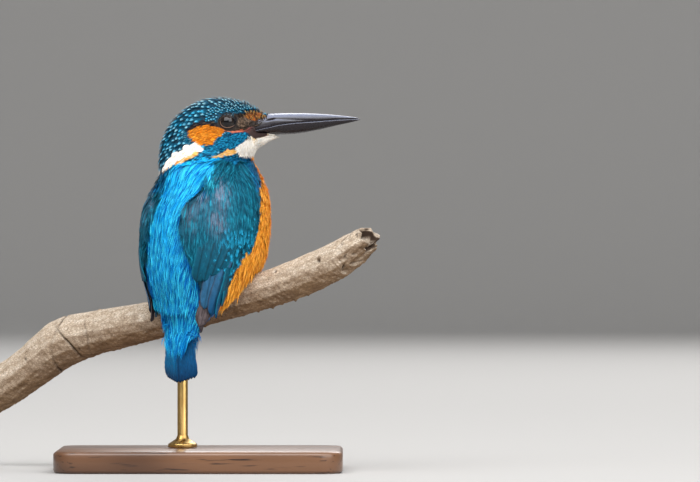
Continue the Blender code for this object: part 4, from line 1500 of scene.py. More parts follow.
def bark_finish():
    """Dry barkless wood, with painted light pale above and painted shade brown below, crazed and
    specked all over.
    """
    board = Board("bark")
    inputs = {"Vector": board.here(), "Scale": (0.55, 1.0, 1.0)}
    place = board.add("ShaderNodeMapping", inputs=inputs)
    broad = board.noise(60.0, 5.0, 0.6)
    warped = board.add("ShaderNodeVectorMath", {"operation": "MULTIPLY_ADD"}, {
        0: board.add("ShaderNodeTexNoise", inputs={"Scale": 500.0, "Detail": 2.0}, output="Color"),
        1: (0.0012, 0.0012, 0.0012), 2: place,
    })
    cells = board.add("ShaderNodeTexVoronoi", {"feature": "DISTANCE_TO_EDGE"},
                      {"Vector": warped, "Scale": 1150.0})
    crazed = board.between(cells, 0.02, 0.24)
    fibre = board.noise(420.0, 6.0, 0.68, (0.35, 1.0, 1.0))
    specks = board.noise(1500.0, 4.0, 0.7)
    # Painted light and shade: the pale ramp where the wood faces up, the brown one where it faces
    # down.
    top = board.between(board.upward() + (broad - 0.5) * 0.9, -0.85, 0.55)
    under = board.ramp(fibre, ((0.30, (0.13, 0.072, 0.036)), (0.5, (0.28, 0.172, 0.092)),
                               (0.72, (0.46, 0.32, 0.19))))
    over = board.ramp(fibre, ((0.30, (0.44, 0.335, 0.24)), (0.5, (0.64, 0.53, 0.41)),
                              (0.72, (0.84, 0.75, 0.64))))
    colour = board.mix(top, under, over)
    colour = board.mix((1 - crazed) * 0.5, colour, (0.13, 0.075, 0.042))
    colour = board.mix(board.between(specks, 0.57, 0.66) * 0.75, colour, (0.09, 0.05, 0.03))
    # Darker in cracks, knot holes and the broken end, partly their own dark and partly painted
    # shade.
    colour = board.mix(board.stored("Crack"), colour, (0.035, 0.02, 0.012))
    return board.finish(
        Base_Color=colour, Roughness=0.85, Specular_IOR_Level=0.2,
        Normal=board.bump(fibre + crazed * 0.5 + specks * 0.4, 0.00018, 0.8),
    )


def wood_finish():
    """Dark polished wood with long grain and open pores."""
    board = Board("stand_wood")
    rings = board.noise(9.0, 3.0, 0.5, (0.25, 1.0, 1.0))
    grain = ((rings * 60.0).math("SINE") + 1.0) * 0.5
    pores = board.noise(900.0, 3.0, 0.5, (0.06, 1.0, 1.0))
    colour = board.ramp(grain, ((0.0, (0.085, 0.036, 0.016)), (1.0, (0.17, 0.078, 0.036))))
    colour = board.mix(board.between(pores, 0.58, 0.7), colour, (0.03, 0.012, 0.006))
    return board.finish(
        Base_Color=colour, Roughness=0.36, Coat_Weight=0.35, Coat_Roughness=0.12,
        Normal=board.bump(pores, 0.00008, 0.4),
    )


def brass_finish():
    """Brass brushed along the rod and a little tarnished."""
    board = Board("rod_brass")
    brushed = board.noise(700.0, 3.0, 0.5, (1.0, 1.0, 0.08))
    tarnish = board.noise(90.0, 4.0)
    colour = board.ramp(tarnish, ((0.3, (0.45, 0.27, 0.085)), (0.75, (0.66, 0.45, 0.17))))
    return board.finish(
        Base_Color=colour, Metallic=1.0, Roughness=board.between(brushed, 0.3, 0.7, 0.22, 0.42),
        Normal=board.bump(brushed, 0.00003, 0.4),
    )


def floor_finish(tone):
    board = Board("floor")
    soft = board.noise(0.6, 2.0)
    low, high = tuple(c * 0.985 for c in tone), tuple(min(c * 1.015, 1.0) for c in tone)
    return board.finish(Base_Color=board.ramp(soft, ((0.3, low), (0.7, high))), Roughness=0.95)


# --- Bill, eyes, claws, perch and stand ---


# Millimetres from the eye forward to the nostril.
NOSTRIL_AT = 17.3


def shape_bill(word, settings):
    """The upper half with its ridge, side groove and nostril, or the lower with its keel."""
    bill = node_copy("bill_" + word)
    even_out(bill, settings.grain)
    push(bill, 0.12 * MM)
    points, normals = places(bill.data), normals_of(bill.data)
    forward, out, up = (part / MM for part in head_chart(points))
    points = points + np.outer(ease(forward, 44.0, 53.0) * 0.7 * MM, HEAD_AHEAD)
    side = np.abs(normals @ HEAD_RIGHT)
    change = 0.02 * mottle(points, 4 * MM) * side
    if word == "upper":
        ridge = np.exp(-(out / 0.55) ** 2) * ease(normals[:, 2], 0.3, 0.9)
        change += 0.16 * ridge * ease(forward, 50.0, 18.0)
        line = 1.5 - 0.028 * (forward - 19)
        groove = np.exp(-((up - line) / 0.42) ** 2) * side
        change -= 0.26 * groove * ease(forward, 40.0, 24.0) * ease(forward, 9, 14)
        past = forward - NOSTRIL_AT
        rise = up - 1.15 - 0.2 * past
        change -= 0.75 * np.exp(-(rise / 0.32) ** 2 - (past / 1.7) ** 4) * side
        change += 0.14 * np.exp(-((rise - 0.65) / 0.3) ** 2 - (past / 2.2) ** 4) * side
    else:
        keel = np.exp(-(out / 0.5) ** 2) * ease(-normals[:, 2], 0.3, 0.9)
        change += 0.12 * keel * ease(forward, 52.0, 25.0)
    move_to(bill.data, points + normals * (change * MM)[:, None])
    smooth_shaded(bill)
    return bill


def make_eye(side, word):
    """The ball with a bulging cornea; it keeps how far each point lies from the pupil."""
    bpy.ops.object.select_all(action="DESELECT")
    bpy.ops.mesh.primitive_uv_sphere_add(segments=64, ring_count=40, radius=EYE_BALL * 0.985)
    ball = bpy.context.active_object
    ball.name = ball.data.name = "eyeball_" + word
    points = places(ball.data)
    out = eye_axes(side)[0]
    angle = np.arccos(np.clip(unit(points) @ out, -1, 1))
    points = points * (1 + 0.035 * ease(angle, 0.75, 0.2))[:, None] + EYES[side]
    move_to(ball.data, points)
    store(ball.data, "Reach", angle / 0.9)
    smooth_shaded(ball)
    return ball


def make_claws(word):
    copies = [node_copy(f"claw_{word}_{i}") for i in range(1, 5)]
    for claw in copies:
        apply(claw, "SUBSURF", levels=2, render_levels=2)
        smooth_shaded(claw)
    return join(copies, "claws_" + word)


def perch_line():
    """The middle of the branch from its cut end to its broken end, as rows of points."""
    points = node_points("perch_branch")
    centre = points.mean(0)
    axis = np.linalg.svd(points - centre, full_matrices=False)[2][0]
    axis = axis * np.sign(axis[0])
    place = (points - centre) @ axis
    marks = np.linspace(place.min(), place.max(), 34)
    rows = []
    for low, high in zip(marks[:-3], marks[3:]):
        ring = points[(place >= low) & (place <= high)]
        rows.append((ring.min(0) + ring.max(0)) / 2)
    return np.array(rows), axis


# Cracks round the perch: share of its length, lean, depth and breadth in millimetres.
PERCH_RINGS = ((0.215, 5.0, 0.9, 0.55), (0.245, -4.0, 0.7, 0.45), (0.30, 2.0, 0.25, 0.5),
               (0.44, -2.0, 0.15, 0.4))
# Stubs and knot holes of the perch: share of its length, turn from its side, height.
PERCH_NUBS = (
    (0.47, -2.0, 0.9), (0.58, -1.6, 0.8), (0.66, -1.3, 0.7), (0.72, -1.8, 0.9), (0.763, -1.55, 0.8),
    (0.825, -1.5, 1.0), (0.861, -1.45, 1.0), (0.93, -1.35, 0.9), (0.947, -1.3, 0.8),
    (0.33, 1.5, 0.5), (0.926, 0.35, -1.2), (0.81, 0.73, -0.6), (0.998, -0.8, -1.0),
    (0.27, -0.6, -0.3), (0.13, 0.3, -0.3),
)


def shape_perch(settings):
    """The branch with long fissures, ring cracks, stubs, knot holes and one splintered end."""
    perch = node_copy("perch_branch")
    even_out(perch, settings.bark_grain)
    points, normals = places(perch.data), normals_of(perch.data)
    line, axis = perch_line()
    place = (points - line[0]) @ axis
    length = (line[-1] - line[0]) @ axis
    share = place / length
    rows = (line - line[0]) @ axis
    middle_of = np.stack([np.interp(place, rows, line[:, i]) for i in range(3)], 1)
    spoke = points - middle_of
    spoke = spoke - np.outer(spoke @ axis, axis)
    across = unit(np.cross(axis, UP))
    over = np.cross(across, axis)
    turn = np.arctan2(spoke @ over, spoke @ across)
    drift = place / MM
    fissure = np.sin(turn * 9 + 0.05 * drift + 1.6 * np.sin(drift * 0.09 + 2 * np.sin(turn)))
    fine = np.sin(turn * 23 - 0.13 * drift + 2.2 * np.sin(drift * 0.21 + 3 * np.sin(2 * turn)))
    lumps = mottle(points, 11 * MM, 0.7) + 0.5 * mottle(points, 5 * MM, 2.1)
    change = 0.04 * fissure + 0.03 * fine + 0.13 * lumps - 0.10
    under = ease(-normals[:, 2], -0.2, 0.8)
    change += under * 0.24 * (mottle(points, 2.6 * MM, 1.3) + 0.7 * mottle(points, 1.4 * MM))
    # How dark each point is: the cracks' own dark, with painted shade in cracks, knot holes and the
    # hollow end.
    cracks_and_shade = np.zeros(len(points))
    for at, lean, deep, broad in PERCH_RINGS:
        gap = drift - at * length / MM - lean * np.sin(turn) - 0.7 * np.sin(3 * turn + lean)
        ring = np.exp(-(gap / broad) ** 2) * (0.6 + 0.4 * np.sin(2 * turn + lean))
        change -= deep * ring
        cracks_and_shade = np.maximum(cracks_and_shade, ring * min(deep * 1.6, 1.0))
    end = ease(share, 0.95, 1.0) ** 1.5
    pits = mottle(points, 3.1 * MM, 0.3) + 0.4 * mottle(points, 1.3 * MM, 1.9)
    change += end * 0.4 * pits
    cracks_and_shade = np.maximum(cracks_and_shade, end * ease(-pits, 0.3, 0.9) * 0.8)
    for at, toward, proud in PERCH_NUBS:
        gap = np.hypot(drift - at * length / MM, 6 * np.sin((turn - toward) / 2) * 2)
        nub = np.exp(-(gap / (0.4 + 0.3 * abs(proud))) ** 2)
        change += proud * nub
        cracks_and_shade = np.maximum(cracks_and_shade, nub * (0.9 if proud < 0 else 0.35))
    points = points + normals * (change * MM)[:, None]
    torn = 2.4 * np.cos(turn - 2.3) + 1.1 * np.sin(3 * turn + 1) + 0.8 * np.sin(8 * turn) - 0.9
    points = points + np.outer(end * torn * MM, axis)
    hollow = ease(normals @ axis, 0.2, 0.8) * ease(share, 0.93, 0.99)
    # Painted shade on the inner walls of the splintered end.
    inside_end = ease(-dot(unit(spoke), normals), 0.0, 0.6) * ease(share, 0.93, 0.98)
    move_to(perch.data, points)
    cracks_and_shade = np.clip(cracks_and_shade + hollow * 0.25 + inside_end, 0, 1)
    store(perch.data, "Crack", cracks_and_shade)
    smooth_shaded(perch)
    return perch


def shape_stand():
    """The plate and the rod with their edges eased."""
    pieces = []
    for name, easing in (("stand_base", 0.0009), ("stand_rod", 0.0003)):
        piece = node_copy(name)
        apply(piece, "DECIMATE", decimate_type="DISSOLVE", angle_limit=math.radians(1.0))
        apply(piece, "BEVEL", width=easing, segments=3, limit_method="ANGLE",
              angle_limit=math.radians(40))
        activate(piece)
        bpy.ops.object.shade_smooth_by_angle(angle=math.radians(35))
        piece.name = piece.data.name = name.replace("stand_", "display_")
        pieces.append(piece)
    return pieces


# --- Operators ---


class KINGFISHER_OT_skin(Operator):
    """Grow one skin over the flesh, with eyelids, the fold at the gape and scaled feet"""

    bl_idname = "kingfisher.skin"
    bl_label = "Skin"

    def execute(self, context):
        settings = settings_of("skin")
        flesh = grow_flesh(settings)
        surface = Surface(flesh, ("tail", "primaries_right", "primaries_left"))
        kind = flesh_at(surface.centres)
        wing, depth = kind >= FIRST_WING, coat_depth(surface.centres, kind, settings)
        WORK["bed"] = Bed(surface, depth, wing, zones_at(surface.centres, wing))
        WORK["plumage"], WORK["quill"] = plumage_finish(), quill_finish()
        points = places(flesh.data)
        colours, bare = skin_colours(points, flesh_at(points))
        paint_points(flesh.data, colours)
        parts, bares = [flesh], [bare.astype(float)]
        for side, word in SIDES:
            lid, ring, turn = make_lid(side, surface)
            paint_points(lid.data, lid_colours(ring, turn))
            gape = make_gape(side, surface)
            paint_points(gape.data, gape_colours(places(gape.data)))
            leg = make_leg(word)
            paint_points(leg.data, leg_colours(places(leg.data)))
            for part in (lid, gape, leg):
                parts.append(part)
                bares.append(np.ones(len(part.data.vertices)))
            bares[-3] = (ring < 4) * 0.8
        skin = join(parts, "skin")
        store(skin.data, "Bare", np.concatenate(bares))
        smooth_shaded(skin)
        give(skin, skin_finish())
        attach(skin, "root")
        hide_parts(*FLESH, "leg_right", "leg_left")
        return {"FINISHED"}


def same_size(share):
    """One size for the whole piece, as a share of the full size."""
    return lambda points: np.full(len(points), share)


def slow_near_bill(least, near=-5.0, far=15.0):
    """Sizes that grow from the forehead to the nape."""
    def size(points):
        forward = head_chart(points)[0] / MM
        return least + (1 - least) * ease(-forward, near, far)
    return size


def near_face(points):
    """True round the eye and the root of the bill."""
    bill = np.linalg.norm(points - (BILL_ROOT - UP * 1.5 * MM), axis=1)
    return (eye_distance(points) < 6.6 * MM) | (bill < 8.5 * MM)


def free_feathers(name, roots, tips, ups, width, zone, tract, seed, head):
    """Feathers that run straight from their roots to their tips, off the skin if need be."""
    count = len(roots)
    steps = np.linspace(0, 1, tract.rows)[None, :, None]
    line = roots[:, None] + (tips - roots)[:, None] * steps
    strands = fan(line, np.repeat(ups[:, None], tract.rows, 1), np.full(count, width),
                  np.full(count, 0.22 * MM), tract, seed, 0.3, 0.3)
    rng = np.random.default_rng(seed + 1)
    zone = zones_at(tips, np.zeros(count, bool)) if zone is None else np.full(count, ZONE[zone])
    build_coat(name, roots, strands, zone, tips, tract, rng, None, head)


def lore_tint(spots, zone, main):
    """Gold tufts with dark brown ones between them."""
    gold, dark, lore = colour_of("orange"), colour_of("brown"), (zone == ZONE["lore"])[:, None]
    share = ease(mottle(spots * (1.0, 1.0, 0.5), 0.9 * MM), 0.0, 0.35)[:, None]
    base = np.where(lore, main + (gold - main) * 0.7, main)
    return base + share * lore * (dark * 0.22 - base)


LID_FEATHERS = 620


def plant_lids(tract):
    """Short dark feathers over the outer part of each eyelid, parting round the eye."""
    for seed, (side, word) in enumerate(SIDES):
        rings = WORK["lid_" + word]
        rng = np.random.default_rng(80 + seed)
        count = LID_FEATHERS
        ring, turn = rng.uniform(4.3, 8.0, count), rng.integers(0, LID_POINTS, count)
        low = ring.astype(int).clip(0, len(rings) - 2)
        part = (ring - low)[:, None]
        roots = rings[low, turn] * (1 - part) + rings[low + 1, turn] * part
        ups = unit(unit(roots - EYES[side]) + HEAD_RIGHT * side * 0.6)
        way = lie_at(roots, ups, np.zeros(count, bool))
        tips = roots + way * rng.uniform(0.6, 1.2, (count, 1)) * MM
        free_feathers("lid_feathers_" + word, roots, tips, ups, 0.5 * MM, None, tract,
                      90 + seed, True)


def plant_chin(tract):
    """The chin's white feathers, which run out to a point under the lower half of the bill."""
    surface, zone = WORK["bed"].surface, WORK["bed"].zone
    forward, _, up = (part / MM for part in head_chart(surface.centres))
    wanted = (zone == ZONE["throat"]) & (forward > 11.0) & (up > -11.5) & (up < -4.9)
    roots, normals, _ = surface.scatter(wanted, np.full(len(wanted), 0.5 * MM), 101)
    point = BILL_ROOT + HEAD_AHEAD * 10.5 * MM - UP * 5.75 * MM
    rng = np.random.default_rng(102)
    up = (roots[:, 2] - EYE_LEVEL) / MM
    share = rng.uniform(0.4, 1.0, len(roots)) * (0.2 + 0.8 * ease(up, -11.5, -6.5))
    side = rng.normal(0, 0.25 * MM, (len(roots), 1)) * HEAD_RIGHT
    tips = roots + (point + side - roots) * share[:, None] - UP * 0.25 * MM * share[:, None]
    ups = unit(normals - HEAD_AHEAD * dot(normals, HEAD_AHEAD[None])[:, None] * 0.7)
    free_feathers("chin_feathers", roots, tips, ups, 1.2 * MM, "throat", tract, 103, True)


def plant_forehead(tract):
    """Raised feathers that fill the slope of the forehead."""
    bed = WORK["bed"]
    wanted = (bed.zone == ZONE["crown"]) & (head_chart(bed.surface.centres)[0] > 6.5 * MM)
    plant("forehead_feathers", wanted, tract, 121, same_size(0.5), 0.4, 0.05, head=True,
          bed=bed.raised(0.5 * MM))


def plant_flank(tract):
    """Loose tufts of the flanks and belly that hang over the perch."""
    surface, zone = WORK["bed"].surface, WORK["bed"].zone
    fore, height = fore_bearing(surface.centres), surface.centres[:, 2] / MM
    wanted = (zone == ZONE["orange"]) & (height < 88) & (height > 66) & (fore > 40) & (fore < 114)
    roots, normals, _ = surface.scatter(wanted, np.full(len(wanted), 1.5 * MM), 111)
    rng = np.random.default_rng(112)
    way = lie_at(roots, normals, np.zeros(len(roots), bool))
    loose = rng.uniform(0.2, 0.7, (len(roots), 1))
    way = unit(way + normals * loose - UP * 0.2 - TRUNK_AHEAD * 0.3)
    tips = roots + way * rng.uniform(6.0, 10.0, (len(roots), 1)) * MM
    steps = np.linspace(0, 1, 6)[None, :, None]
    line = roots[:, None] * (1 - steps) + tips[:, None] * steps
    line = clear_of(("perch_branch",), line, 0.7 * MM)
    free_feathers("flank_tufts", roots, line[:, -1], normals, 1.1 * MM, "orange", tract, 113, False)


def plant_bill_root(tract):
    """Bristly feathers of the lores that start on the horn."""
    horn = shape_bill("upper", settings_of("hard"))
    surface = Surface(horn)
    forward, _, up = head_chart(surface.centres)
    count = len(surface.centres)
    for zone, outline in ROOT_OUTLINES.items():
        wanted = inside(outline, forward / MM, up / MM)
        bed = Bed(surface, np.full(count, 1.0 * MM), np.zeros(count, bool),
                  np.full(count, ZONE[zone]))
        plant(zone + "_on_bill", wanted, tract, 17, same_size(1.3), 0.4, 0.3, head=True, bed=bed,
              tint_by=lore_tint)
    bpy.data.objects.remove(horn)


# Tips of the dotted coverts along the edge of the folded wing: bearing and height.
DOTS = ((94, 104), (98, 100), (102, 97), (109, 98), (102, 93), (115, 95.5), (111, 92.5), (99, 90),
        (121, 90), (106, 88), (132, 87), (124, 83), (116, 82.5), (111, 85), (118, 79))


def plant_dots(tract):
    """Small coverts over the others, each with a round pale tip."""
    for seed, (side, word) in enumerate(SIDES):
        tips = np.array([wing_spot(side, at, up, -0.35) for at, up in DOTS])
        roots = np.array([wing_spot(side, at - 2.6, up + 3.8, 0.7) for at, up in DOTS])
        ups = unit((tips - TRUNK_CORE) * FLAT)
        free_feathers("dotted_coverts_" + word, roots, tips, ups, 2.6 * MM, "covert", tract,
                      131 + seed, False)


class KINGFISHER_OT_head_coat(Operator):
    """Plant the small feathers of the face, the spotted crown and the cheeks and throat"""

    bl_idname = "kingfisher.head_coat"
    bl_label = "Head plumage"

    def execute(self, context):
        bed = WORK["bed"]
        surface, zone = bed.surface, bed.zone
        crown, lore = zone == ZONE["crown"], zone == ZONE["lore"]
        feathered = (zone < ZONE["gape"]) & ~crown
        face = feathered & near_face(surface.centres)
        cheek = feathered & ~face
        tract = settings_of("face")
        plant("coat_face", face & ~lore, tract, 11, head=True, rounded=0.2, loose=0.3)
        corner = (zone == ZONE["lore_dark"]) & (head_chart(surface.centres)[0] > 8.0 * MM)
        plant("coat_lores", lore | corner, tract, 13, same_size(1.6), 0.5, 0.3, head=True,
              tint_by=lore_tint, bed=bed.raised(0.3 * MM))
        plant_bill_root(tract)
        plant_lids(tract)
        plant_chin(settings_of("cheek"))
        brow = crown & (eye_distance(surface.centres) < 8.0 * MM)
        plant("coat_crown", crown & ~brow, settings_of("crown"), 21,
              slow_near_bill(0.62, -8.0, 10.0), 0.4, 0.03, head=True)
        plant("coat_brow", brow, settings_of("crown"), 23, same_size(0.5), 0.4, 0.05, head=True)
        plant_forehead(settings_of("crown"))
        plant("coat_cheek", cheek, settings_of("cheek"), 31, slow_near_bill(0.6), 0.25, 0.2,
              head=True)
        return {"FINISHED"}


def over_perch(line):
    """Lays feathers over the branch and the legs where they would run into them."""
    return clear_of(("perch_branch", "leg_right", "leg_left"), line, 0.3 * MM)


def over_tail(roots, rng):
    """Lengthens the lowest feathers of the rump until their tips lie over the tail."""
    reach = (roots[:, 2] - rng.uniform(45.5, 52.0, len(roots)) * MM) / settings_of("mantle").length
    bearing = trunk_bearing(roots)
    low = (roots[:, 2] < 70 * MM) & (bearing > 157) & (bearing < 203)
    short = np.where(low | (roots[:, 2] > 74 * MM), 1.0, 0.6)
    return np.where(low, np.clip(reach, 0.9, 2.2), short)


def azure_tint(spots, zone, main):
    """Deeper down the back and beside both wings, with pale and dark streaks along it."""
    height, bearing = spots[:, 2] / MM, trunk_bearing(spots)
    deep, glint = colour_of("azure_deep"), colour_of("azure_light")
    low = 0.5 * ease(height, 112, 84)
    right = 0.95 * ease(bearing, 176, 156) * ease(height, 112, 92)
    left = 0.55 * ease(bearing, 198, 216)
    share = np.clip(np.maximum(np.maximum(low, right), left) + 0.10 * mottle(spots, 7 * MM), 0, 1)
    base = main + share[:, None] * (deep * 1.15 - main)
    streak = mottle(spots * (1.0, 1.0, 0.08), 1.3 * MM)[:, None]
    pale = ease(streak, 0.10, 0.65) * (glint - base) * 0.75
    return base + pale + ease(streak, -0.1, -0.65) * (deep - base) * 0.75


class KINGFISHER_OT_body_coat(Operator):
    """Plant the azure back and rump and the orange underparts"""

    bl_idname = "kingfisher.body_coat"
    bl_label = "Body plumage"

    def execute(self, context):
        zone = WORK["bed"].zone
        back = (zone == ZONE["azure"]) | (zone == ZONE["rump_side"])
        under = (zone == ZONE["orange"]) | (zone == ZONE["breast_side"])
        plant("coat_back", back, settings_of("mantle"), 41, None, 0.25, 0.22,
              settle=over_perch, longer=over_tail, tint_by=azure_tint)
        plant("coat_breast", under, settings_of("breast"), 51, None, 0.25, 0.25,
              settle=over_perch)
        plant_flank(settings_of("cheek"))
        return {"FINISHED"}


def lie_of_shoulder(points, normals, wing):
    """Backwards and down, so that the feathers in front cover the top of the wing."""
    way = np.tile(-UP - TRUNK_AHEAD * 0.8, (len(points), 1))
    return unit(way - normals * dot(way, normals)[:, None])


def plant_shoulders(tract):
    """Feathers that run from the collar over the top of each folded wing."""
    bed = WORK["bed"]
    centres = bed.surface.centres
    for seed, (side, word) in enumerate(SIDES):
        top = WING_POLES[side][0]
        near = np.linalg.norm((centres - top) * (1, 1, 0.6), axis=1) < 8.5 * MM
        wanted = near & (bed.zone > ZONE["gape"]) & (bed.zone != ZONE["azure"])
        plant("shoulder_" + word, wanted, tract, 141 + seed, bed=bed.raised(0.35 * MM),
              lie=lie_of_shoulder)


class KINGFISHER_OT_wing_coat(Operator):
    """Plant the scapulars and the spotted coverts of both wings"""

    bl_idname = "kingfisher.wing_coat"
    bl_label = "Wing plumage"

    def execute(self, context):
        zone, centres = WORK["bed"].zone, WORK["bed"].surface.centres
        right = (centres - TRUNK_CORE) @ TRUNK_RIGHT > 0
        for seed, (side, word) in zip((61, 71), SIDES):
            here = right if side > 0 else ~right
            high = here & (centres[:, 2] > 92 * MM)
            plant("scapulars_" + word, high & (zone == ZONE["scapular"]), settings_of("wing"),
                  seed, None, 0.3, 0.08, tint_by=scapular_tint)
            low = here & (centres[:, 2] > 85 * MM)
            plant("coverts_" + word, low & (zone == ZONE["covert"]), settings_of("covert"),
                  seed + 5, None, 0.4, 0.03)
        plant_dots(settings_of("covert"))
        plant_shoulders(settings_of("breast"))
        return {"FINISHED"}


# Patches of painted mauve sheen on the shoulder: bearing, height, breadth each way and strength.
SHEEN = ((126, 116, 7, 6, 0.9), (129, 103, 6, 5, 0.75), (143, 115, 8, 6, 0.55),
         (151, 108, 7, 8, 0.4))


def scapular_tint(spots, zone, main):
    """A mauve sheen over the middle of the shoulder, teal towards its edges."""
    bearing, height = fore_bearing(spots), spots[:, 2] / MM
    sheen = sum(
        strength * np.exp(-((bearing - at) / broad) ** 2 - ((height - up) / tall) ** 2)
        for at, up, broad, tall, strength in SHEEN
    )
    patches = ease(mottle(spots, 4.5 * MM, 0.8), -0.5, 0.6)
    sheen = np.clip(sheen * (0.55 + 0.6 * patches), 0, 0.95)[:, None]
    bright = 0.28 * ease(mottle(spots, 5 * MM, 3.0), 0.1, 0.8)[:, None]
    base = main + bright * (colour_of("teal_light") - main)
    return base + sheen * (colour_of("mauve") - base)


# Bearing and height at which the left wing's outermost quills end.
LEFT_TIPS = (141.0, 62.5)


def lay_wing_quills(side, word, thickness):
    """The broad feathers of one folded wing."""
    t = np.linspace(0, 1, VANE_ROWS)
    lines, ups, halves, colours = [], [], [], []
    for seed, quill in enumerate(WING_QUILLS):
        b0, z0, b1, z1, half, depth, middle_name, tip_name = quill
        if side < 0 and middle_name == "dusk":
            b1, z1 = LEFT_TIPS[0] + seed, LEFT_TIPS[1]
        bearings, heights = b0 + (b1 - b0) * t**1.15, z0 + (z1 - z0) * t
        sunk = depth + 1.3 * ease(t, 0.4, 0.0)
        line = evened([wing_spot(side, *spot) for spot in zip(bearings, heights, sunk)])
        wide = [wing_spot(side, b - 4, h, depth) for b, h in zip(bearings, heights)]
        up = unit(np.cross(np.gradient(line, axis=0), evened(wide) - line)) * side
        lines.append(line)
        ups.append(evened(up * np.sign((up @ TRUNK_RIGHT).mean() * side), 3))
        halves.append(half)
        tones = [colour_of(name) for name in (middle_name, tip_name, "teal_light")]
        if middle_name != "teal":
            tones[2] = colour_of("dusk") * 0.5
        colours.append(quill_colours(*tones, seed))
    return vane_set("quills_" + word, lines, ups, halves, colours, thickness)


def lay_tail_quills(thickness):
    """Six broad feathers on each side of the tail, the middle pair uppermost."""
    t = np.linspace(0, 1, VANE_ROWS)
    lines, ups, halves, colours = [], [], [], []
    blue, bright = colour_of("tail"), colour_of("azure")
    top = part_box("tail")[1].z / MM + 3
    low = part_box("tail")[0].z / MM
    for rank in range(5, -1, -1):
        for side in (1, -1):
            across = side * (0.5 + 0.95 * rank + (0.5 + 0.45 * rank) * t)
            heights = top + (low + 0.4 * rank - top) * t
            depth = 0.1 + 0.24 * rank + (0.1 if side < 0 else 0.0)
            line = evened([tail_spot(a, h, depth) for a, h in zip(across, heights)])
            lines.append(line)
            ups.append(np.tile(-TRUNK_AHEAD, (VANE_ROWS, 1)))
            halves.append(2.5)
            mixed = blue + (bright - blue) * (0.3 if side < 0 else 0.08)
            colours.append(quill_colours(mixed, blue * 0.8, mixed * 0.5, 40 + rank * 2 + side))
    return vane_set("tail_quills", lines, ups, halves, colours, thickness)


class KINGFISHER_OT_quills(Operator):
    """Lay the broad feathers of the folded wings and the tail"""

    bl_idname = "kingfisher.quills"
    bl_label = "Wing and tail quills"

    def execute(self, context):
        thickness = settings_of("hard").quill
        for side, word in SIDES:
            quills = lay_wing_quills(side, word, thickness)
            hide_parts("primaries_" + word)
        tail = lay_tail_quills(thickness)
        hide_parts("tail")
        return {"FINISHED"}


class KINGFISHER_OT_bill(Operator):
    """Shape both halves of the bill"""

    bl_idname = "kingfisher.bill"
    bl_label = "Bill"

    def execute(self, context):
        finish = bill_finish()
        for word in ("upper", "lower"):
            bill = shape_bill(word, settings_of("hard"))
            bill.name = bill.data.name = "mandible_" + word
            give(bill, finish)
            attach(bill, "root")
            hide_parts("bill_" + word)
        return {"FINISHED"}


class KINGFISHER_OT_eyes(Operator):
    """Set the dark glossy eyes"""

    bl_idname = "kingfisher.eyes"
    bl_label = "Eyes"

    def execute(self, context):
        finish = eye_finish()
        for side, word in SIDES:
            ball = make_eye(side, word)
            give(ball, finish)
            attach(ball, "root")
            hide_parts("eye_" + word)
        return {"FINISHED"}


class KINGFISHER_OT_claws(Operator):
    """Round and polish the claws"""

    bl_idname = "kingfisher.claws"
    bl_label = "Claws"

    def execute(self, context):
        finish = claw_finish()
        for word in ("right", "left"):
            claws = make_claws(word)
            give(claws, finish)
            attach(claws, "root")
            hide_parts(*(f"claw_{word}_{i}" for i in range(1, 5)))
        return {"FINISHED"}


class KINGFISHER_OT_perch(Operator):
    """Carve the bark of the perch"""

    bl_idname = "kingfisher.perch"
    bl_label = "Perch"

    def execute(self, context):
        perch = shape_perch(settings_of("hard"))
        perch.name = perch.data.name = "branch"
        give(perch, bark_finish())
        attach(perch, "root")
        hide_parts("perch_branch")
        return {"FINISHED"}


class KINGFISHER_OT_stand(Operator):
    """Finish the display stand's base and rod"""

    bl_idname = "kingfisher.stand"
    bl_label = "Display stand"

    def execute(self, context):
        base, rod = shape_stand()
        for piece, finish, slot, node in ((base, wood_finish(), "base_wood", "stand_base"),
                                          (rod, brass_finish(), "rod_brass", "stand_rod")):
            give(piece, finish)
            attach(piece, "root")
            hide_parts(node)
        return {"FINISHED"}


# What the lights point at, where the camera stands, and the sides of the round floor.
AIM = Vector((0.0, 0.0, 0.09))
CAMERA_AT = (0.063, -2.4, 0.0962)
FLOOR_SIDES = 96


def add_light(name, power, size, place):
    """A square soft light that points at the bird and isn't seen itself."""
    bpy.ops.object.light_add(type="AREA", location=place)
    light = bpy.context.active_object
    light.name = name
    light.data.energy, light.data.size = power, size
    light.rotation_euler = (AIM - Vector(place)).to_track_quat("-Z", "Y").to_euler()
    light.visible_camera = False


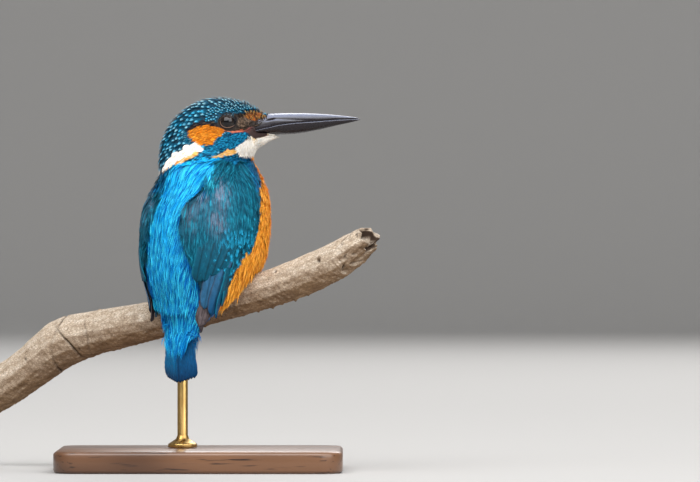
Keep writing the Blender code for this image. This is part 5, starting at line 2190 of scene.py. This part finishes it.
class KINGFISHER_OT_stage(Operator):
    """Lay the floor that curves up all round, the soft lights and the camera"""

    bl_idname = "kingfisher.stage"
    bl_label = "Stage"

    def execute(self, context):
        settings = settings_of("stage")
        reach = settings.reach
        profile = [(0.0, 0.0), (reach * 0.45, 0.0), (reach * 0.7, 0.0)]
        bend = reach * 0.3
        profile += [(reach - bend + bend * math.sin(a), bend - bend * math.cos(a))
                    for a in np.linspace(0.1, math.pi / 2, 16)]
        profile += [(reach, bend + 2.0), (reach, bend + 5.0)]
        turn = np.linspace(0, 2 * np.pi, FLOOR_SIDES, endpoint=False)
        rings = [np.stack([r * np.cos(turn), r * np.sin(turn), np.full(FLOOR_SIDES, h)], 1)
                 for r, h in profile[1:]]
        numbers = np.arange(FLOOR_SIDES * len(rings)).reshape(len(rings), FLOOR_SIDES)
        hub = FLOOR_SIDES * len(rings)
        middle_faces = [(hub, a, b) for a, b in zip(numbers[0], np.roll(numbers[0], -1))]
        points = np.concatenate(rings + [np.zeros((1, 3))])
        walls = rings_between(list(numbers))[:, ::-1]
        floor = link("floor", mesh_from("floor", points, walls, middle_faces))
        smooth_shaded(floor)
        give(floor, floor_finish(tuple(settings.tone)))
        add_light("key", settings.key, 3.0, (-0.8, -1.6, 2.4))
        add_light("fill", settings.fill, 3.0, (1.8, -1.8, 2.0))
        add_light("rim", settings.fill * 0.4, 1.6, (0.6, 2.2, 1.8))
        world = bpy.data.worlds.new("surroundings")
        world.use_nodes = True
        back = world.node_tree.nodes["Background"]
        back.inputs["Color"].default_value = (0.93, 0.97, 1.0, 1.0)
        back.inputs["Strength"].default_value = settings.sky
        context.scene.world = world
        context.scene.view_settings.view_transform = "Standard"
        bpy.ops.object.camera_add(location=CAMERA_AT, rotation=(math.pi / 2, 0, 0))
        camera = bpy.context.active_object
        camera.data.sensor_width, camera.data.lens = 36.0, settings.lens
        camera.data.clip_start, camera.data.clip_end = 0.1, 40.0
        context.scene.camera = camera
        return {"FINISHED"}


class KINGFISHER_PT_panel(Panel):
    """Steps that dress the kingfisher, in order"""

    bl_label = "Kingfisher"
    bl_idname = "KINGFISHER_PT_panel"
    bl_space_type = "VIEW_3D"
    bl_region_type = "UI"
    bl_category = "Kingfisher"

    def draw(self, context):
        for step in STEPS:
            self.layout.operator(step.bl_idname)
        for name, group in SETTINGS.items():
            box = self.layout.box()
            box.label(text=group.__name__)
            for field in group.__annotations__:
                box.prop(settings_of(name), field)


STEPS = (
    KINGFISHER_OT_skin, KINGFISHER_OT_head_coat, KINGFISHER_OT_body_coat,
    KINGFISHER_OT_wing_coat, KINGFISHER_OT_quills, KINGFISHER_OT_bill, KINGFISHER_OT_eyes,
    KINGFISHER_OT_claws, KINGFISHER_OT_perch, KINGFISHER_OT_stand, KINGFISHER_OT_stage,
)


def register():
    for kind in (*SETTINGS.values(), *STEPS, KINGFISHER_PT_panel):
        bpy.utils.register_class(kind)
    for name, group in SETTINGS.items():
        setattr(bpy.types.Scene, "kingfisher_" + name, PointerProperty(type=group))


def unregister():
    for name in SETTINGS:
        delattr(bpy.types.Scene, "kingfisher_" + name)
    for kind in reversed((*SETTINGS.values(), *STEPS, KINGFISHER_PT_panel)):
        bpy.utils.unregister_class(kind)


def main():
    register()
    for step in STEPS:
        group, name = step.bl_idname.split(".")
        getattr(getattr(bpy.ops, group), name)()
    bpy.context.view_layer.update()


if __name__ == "__main__":
    main()
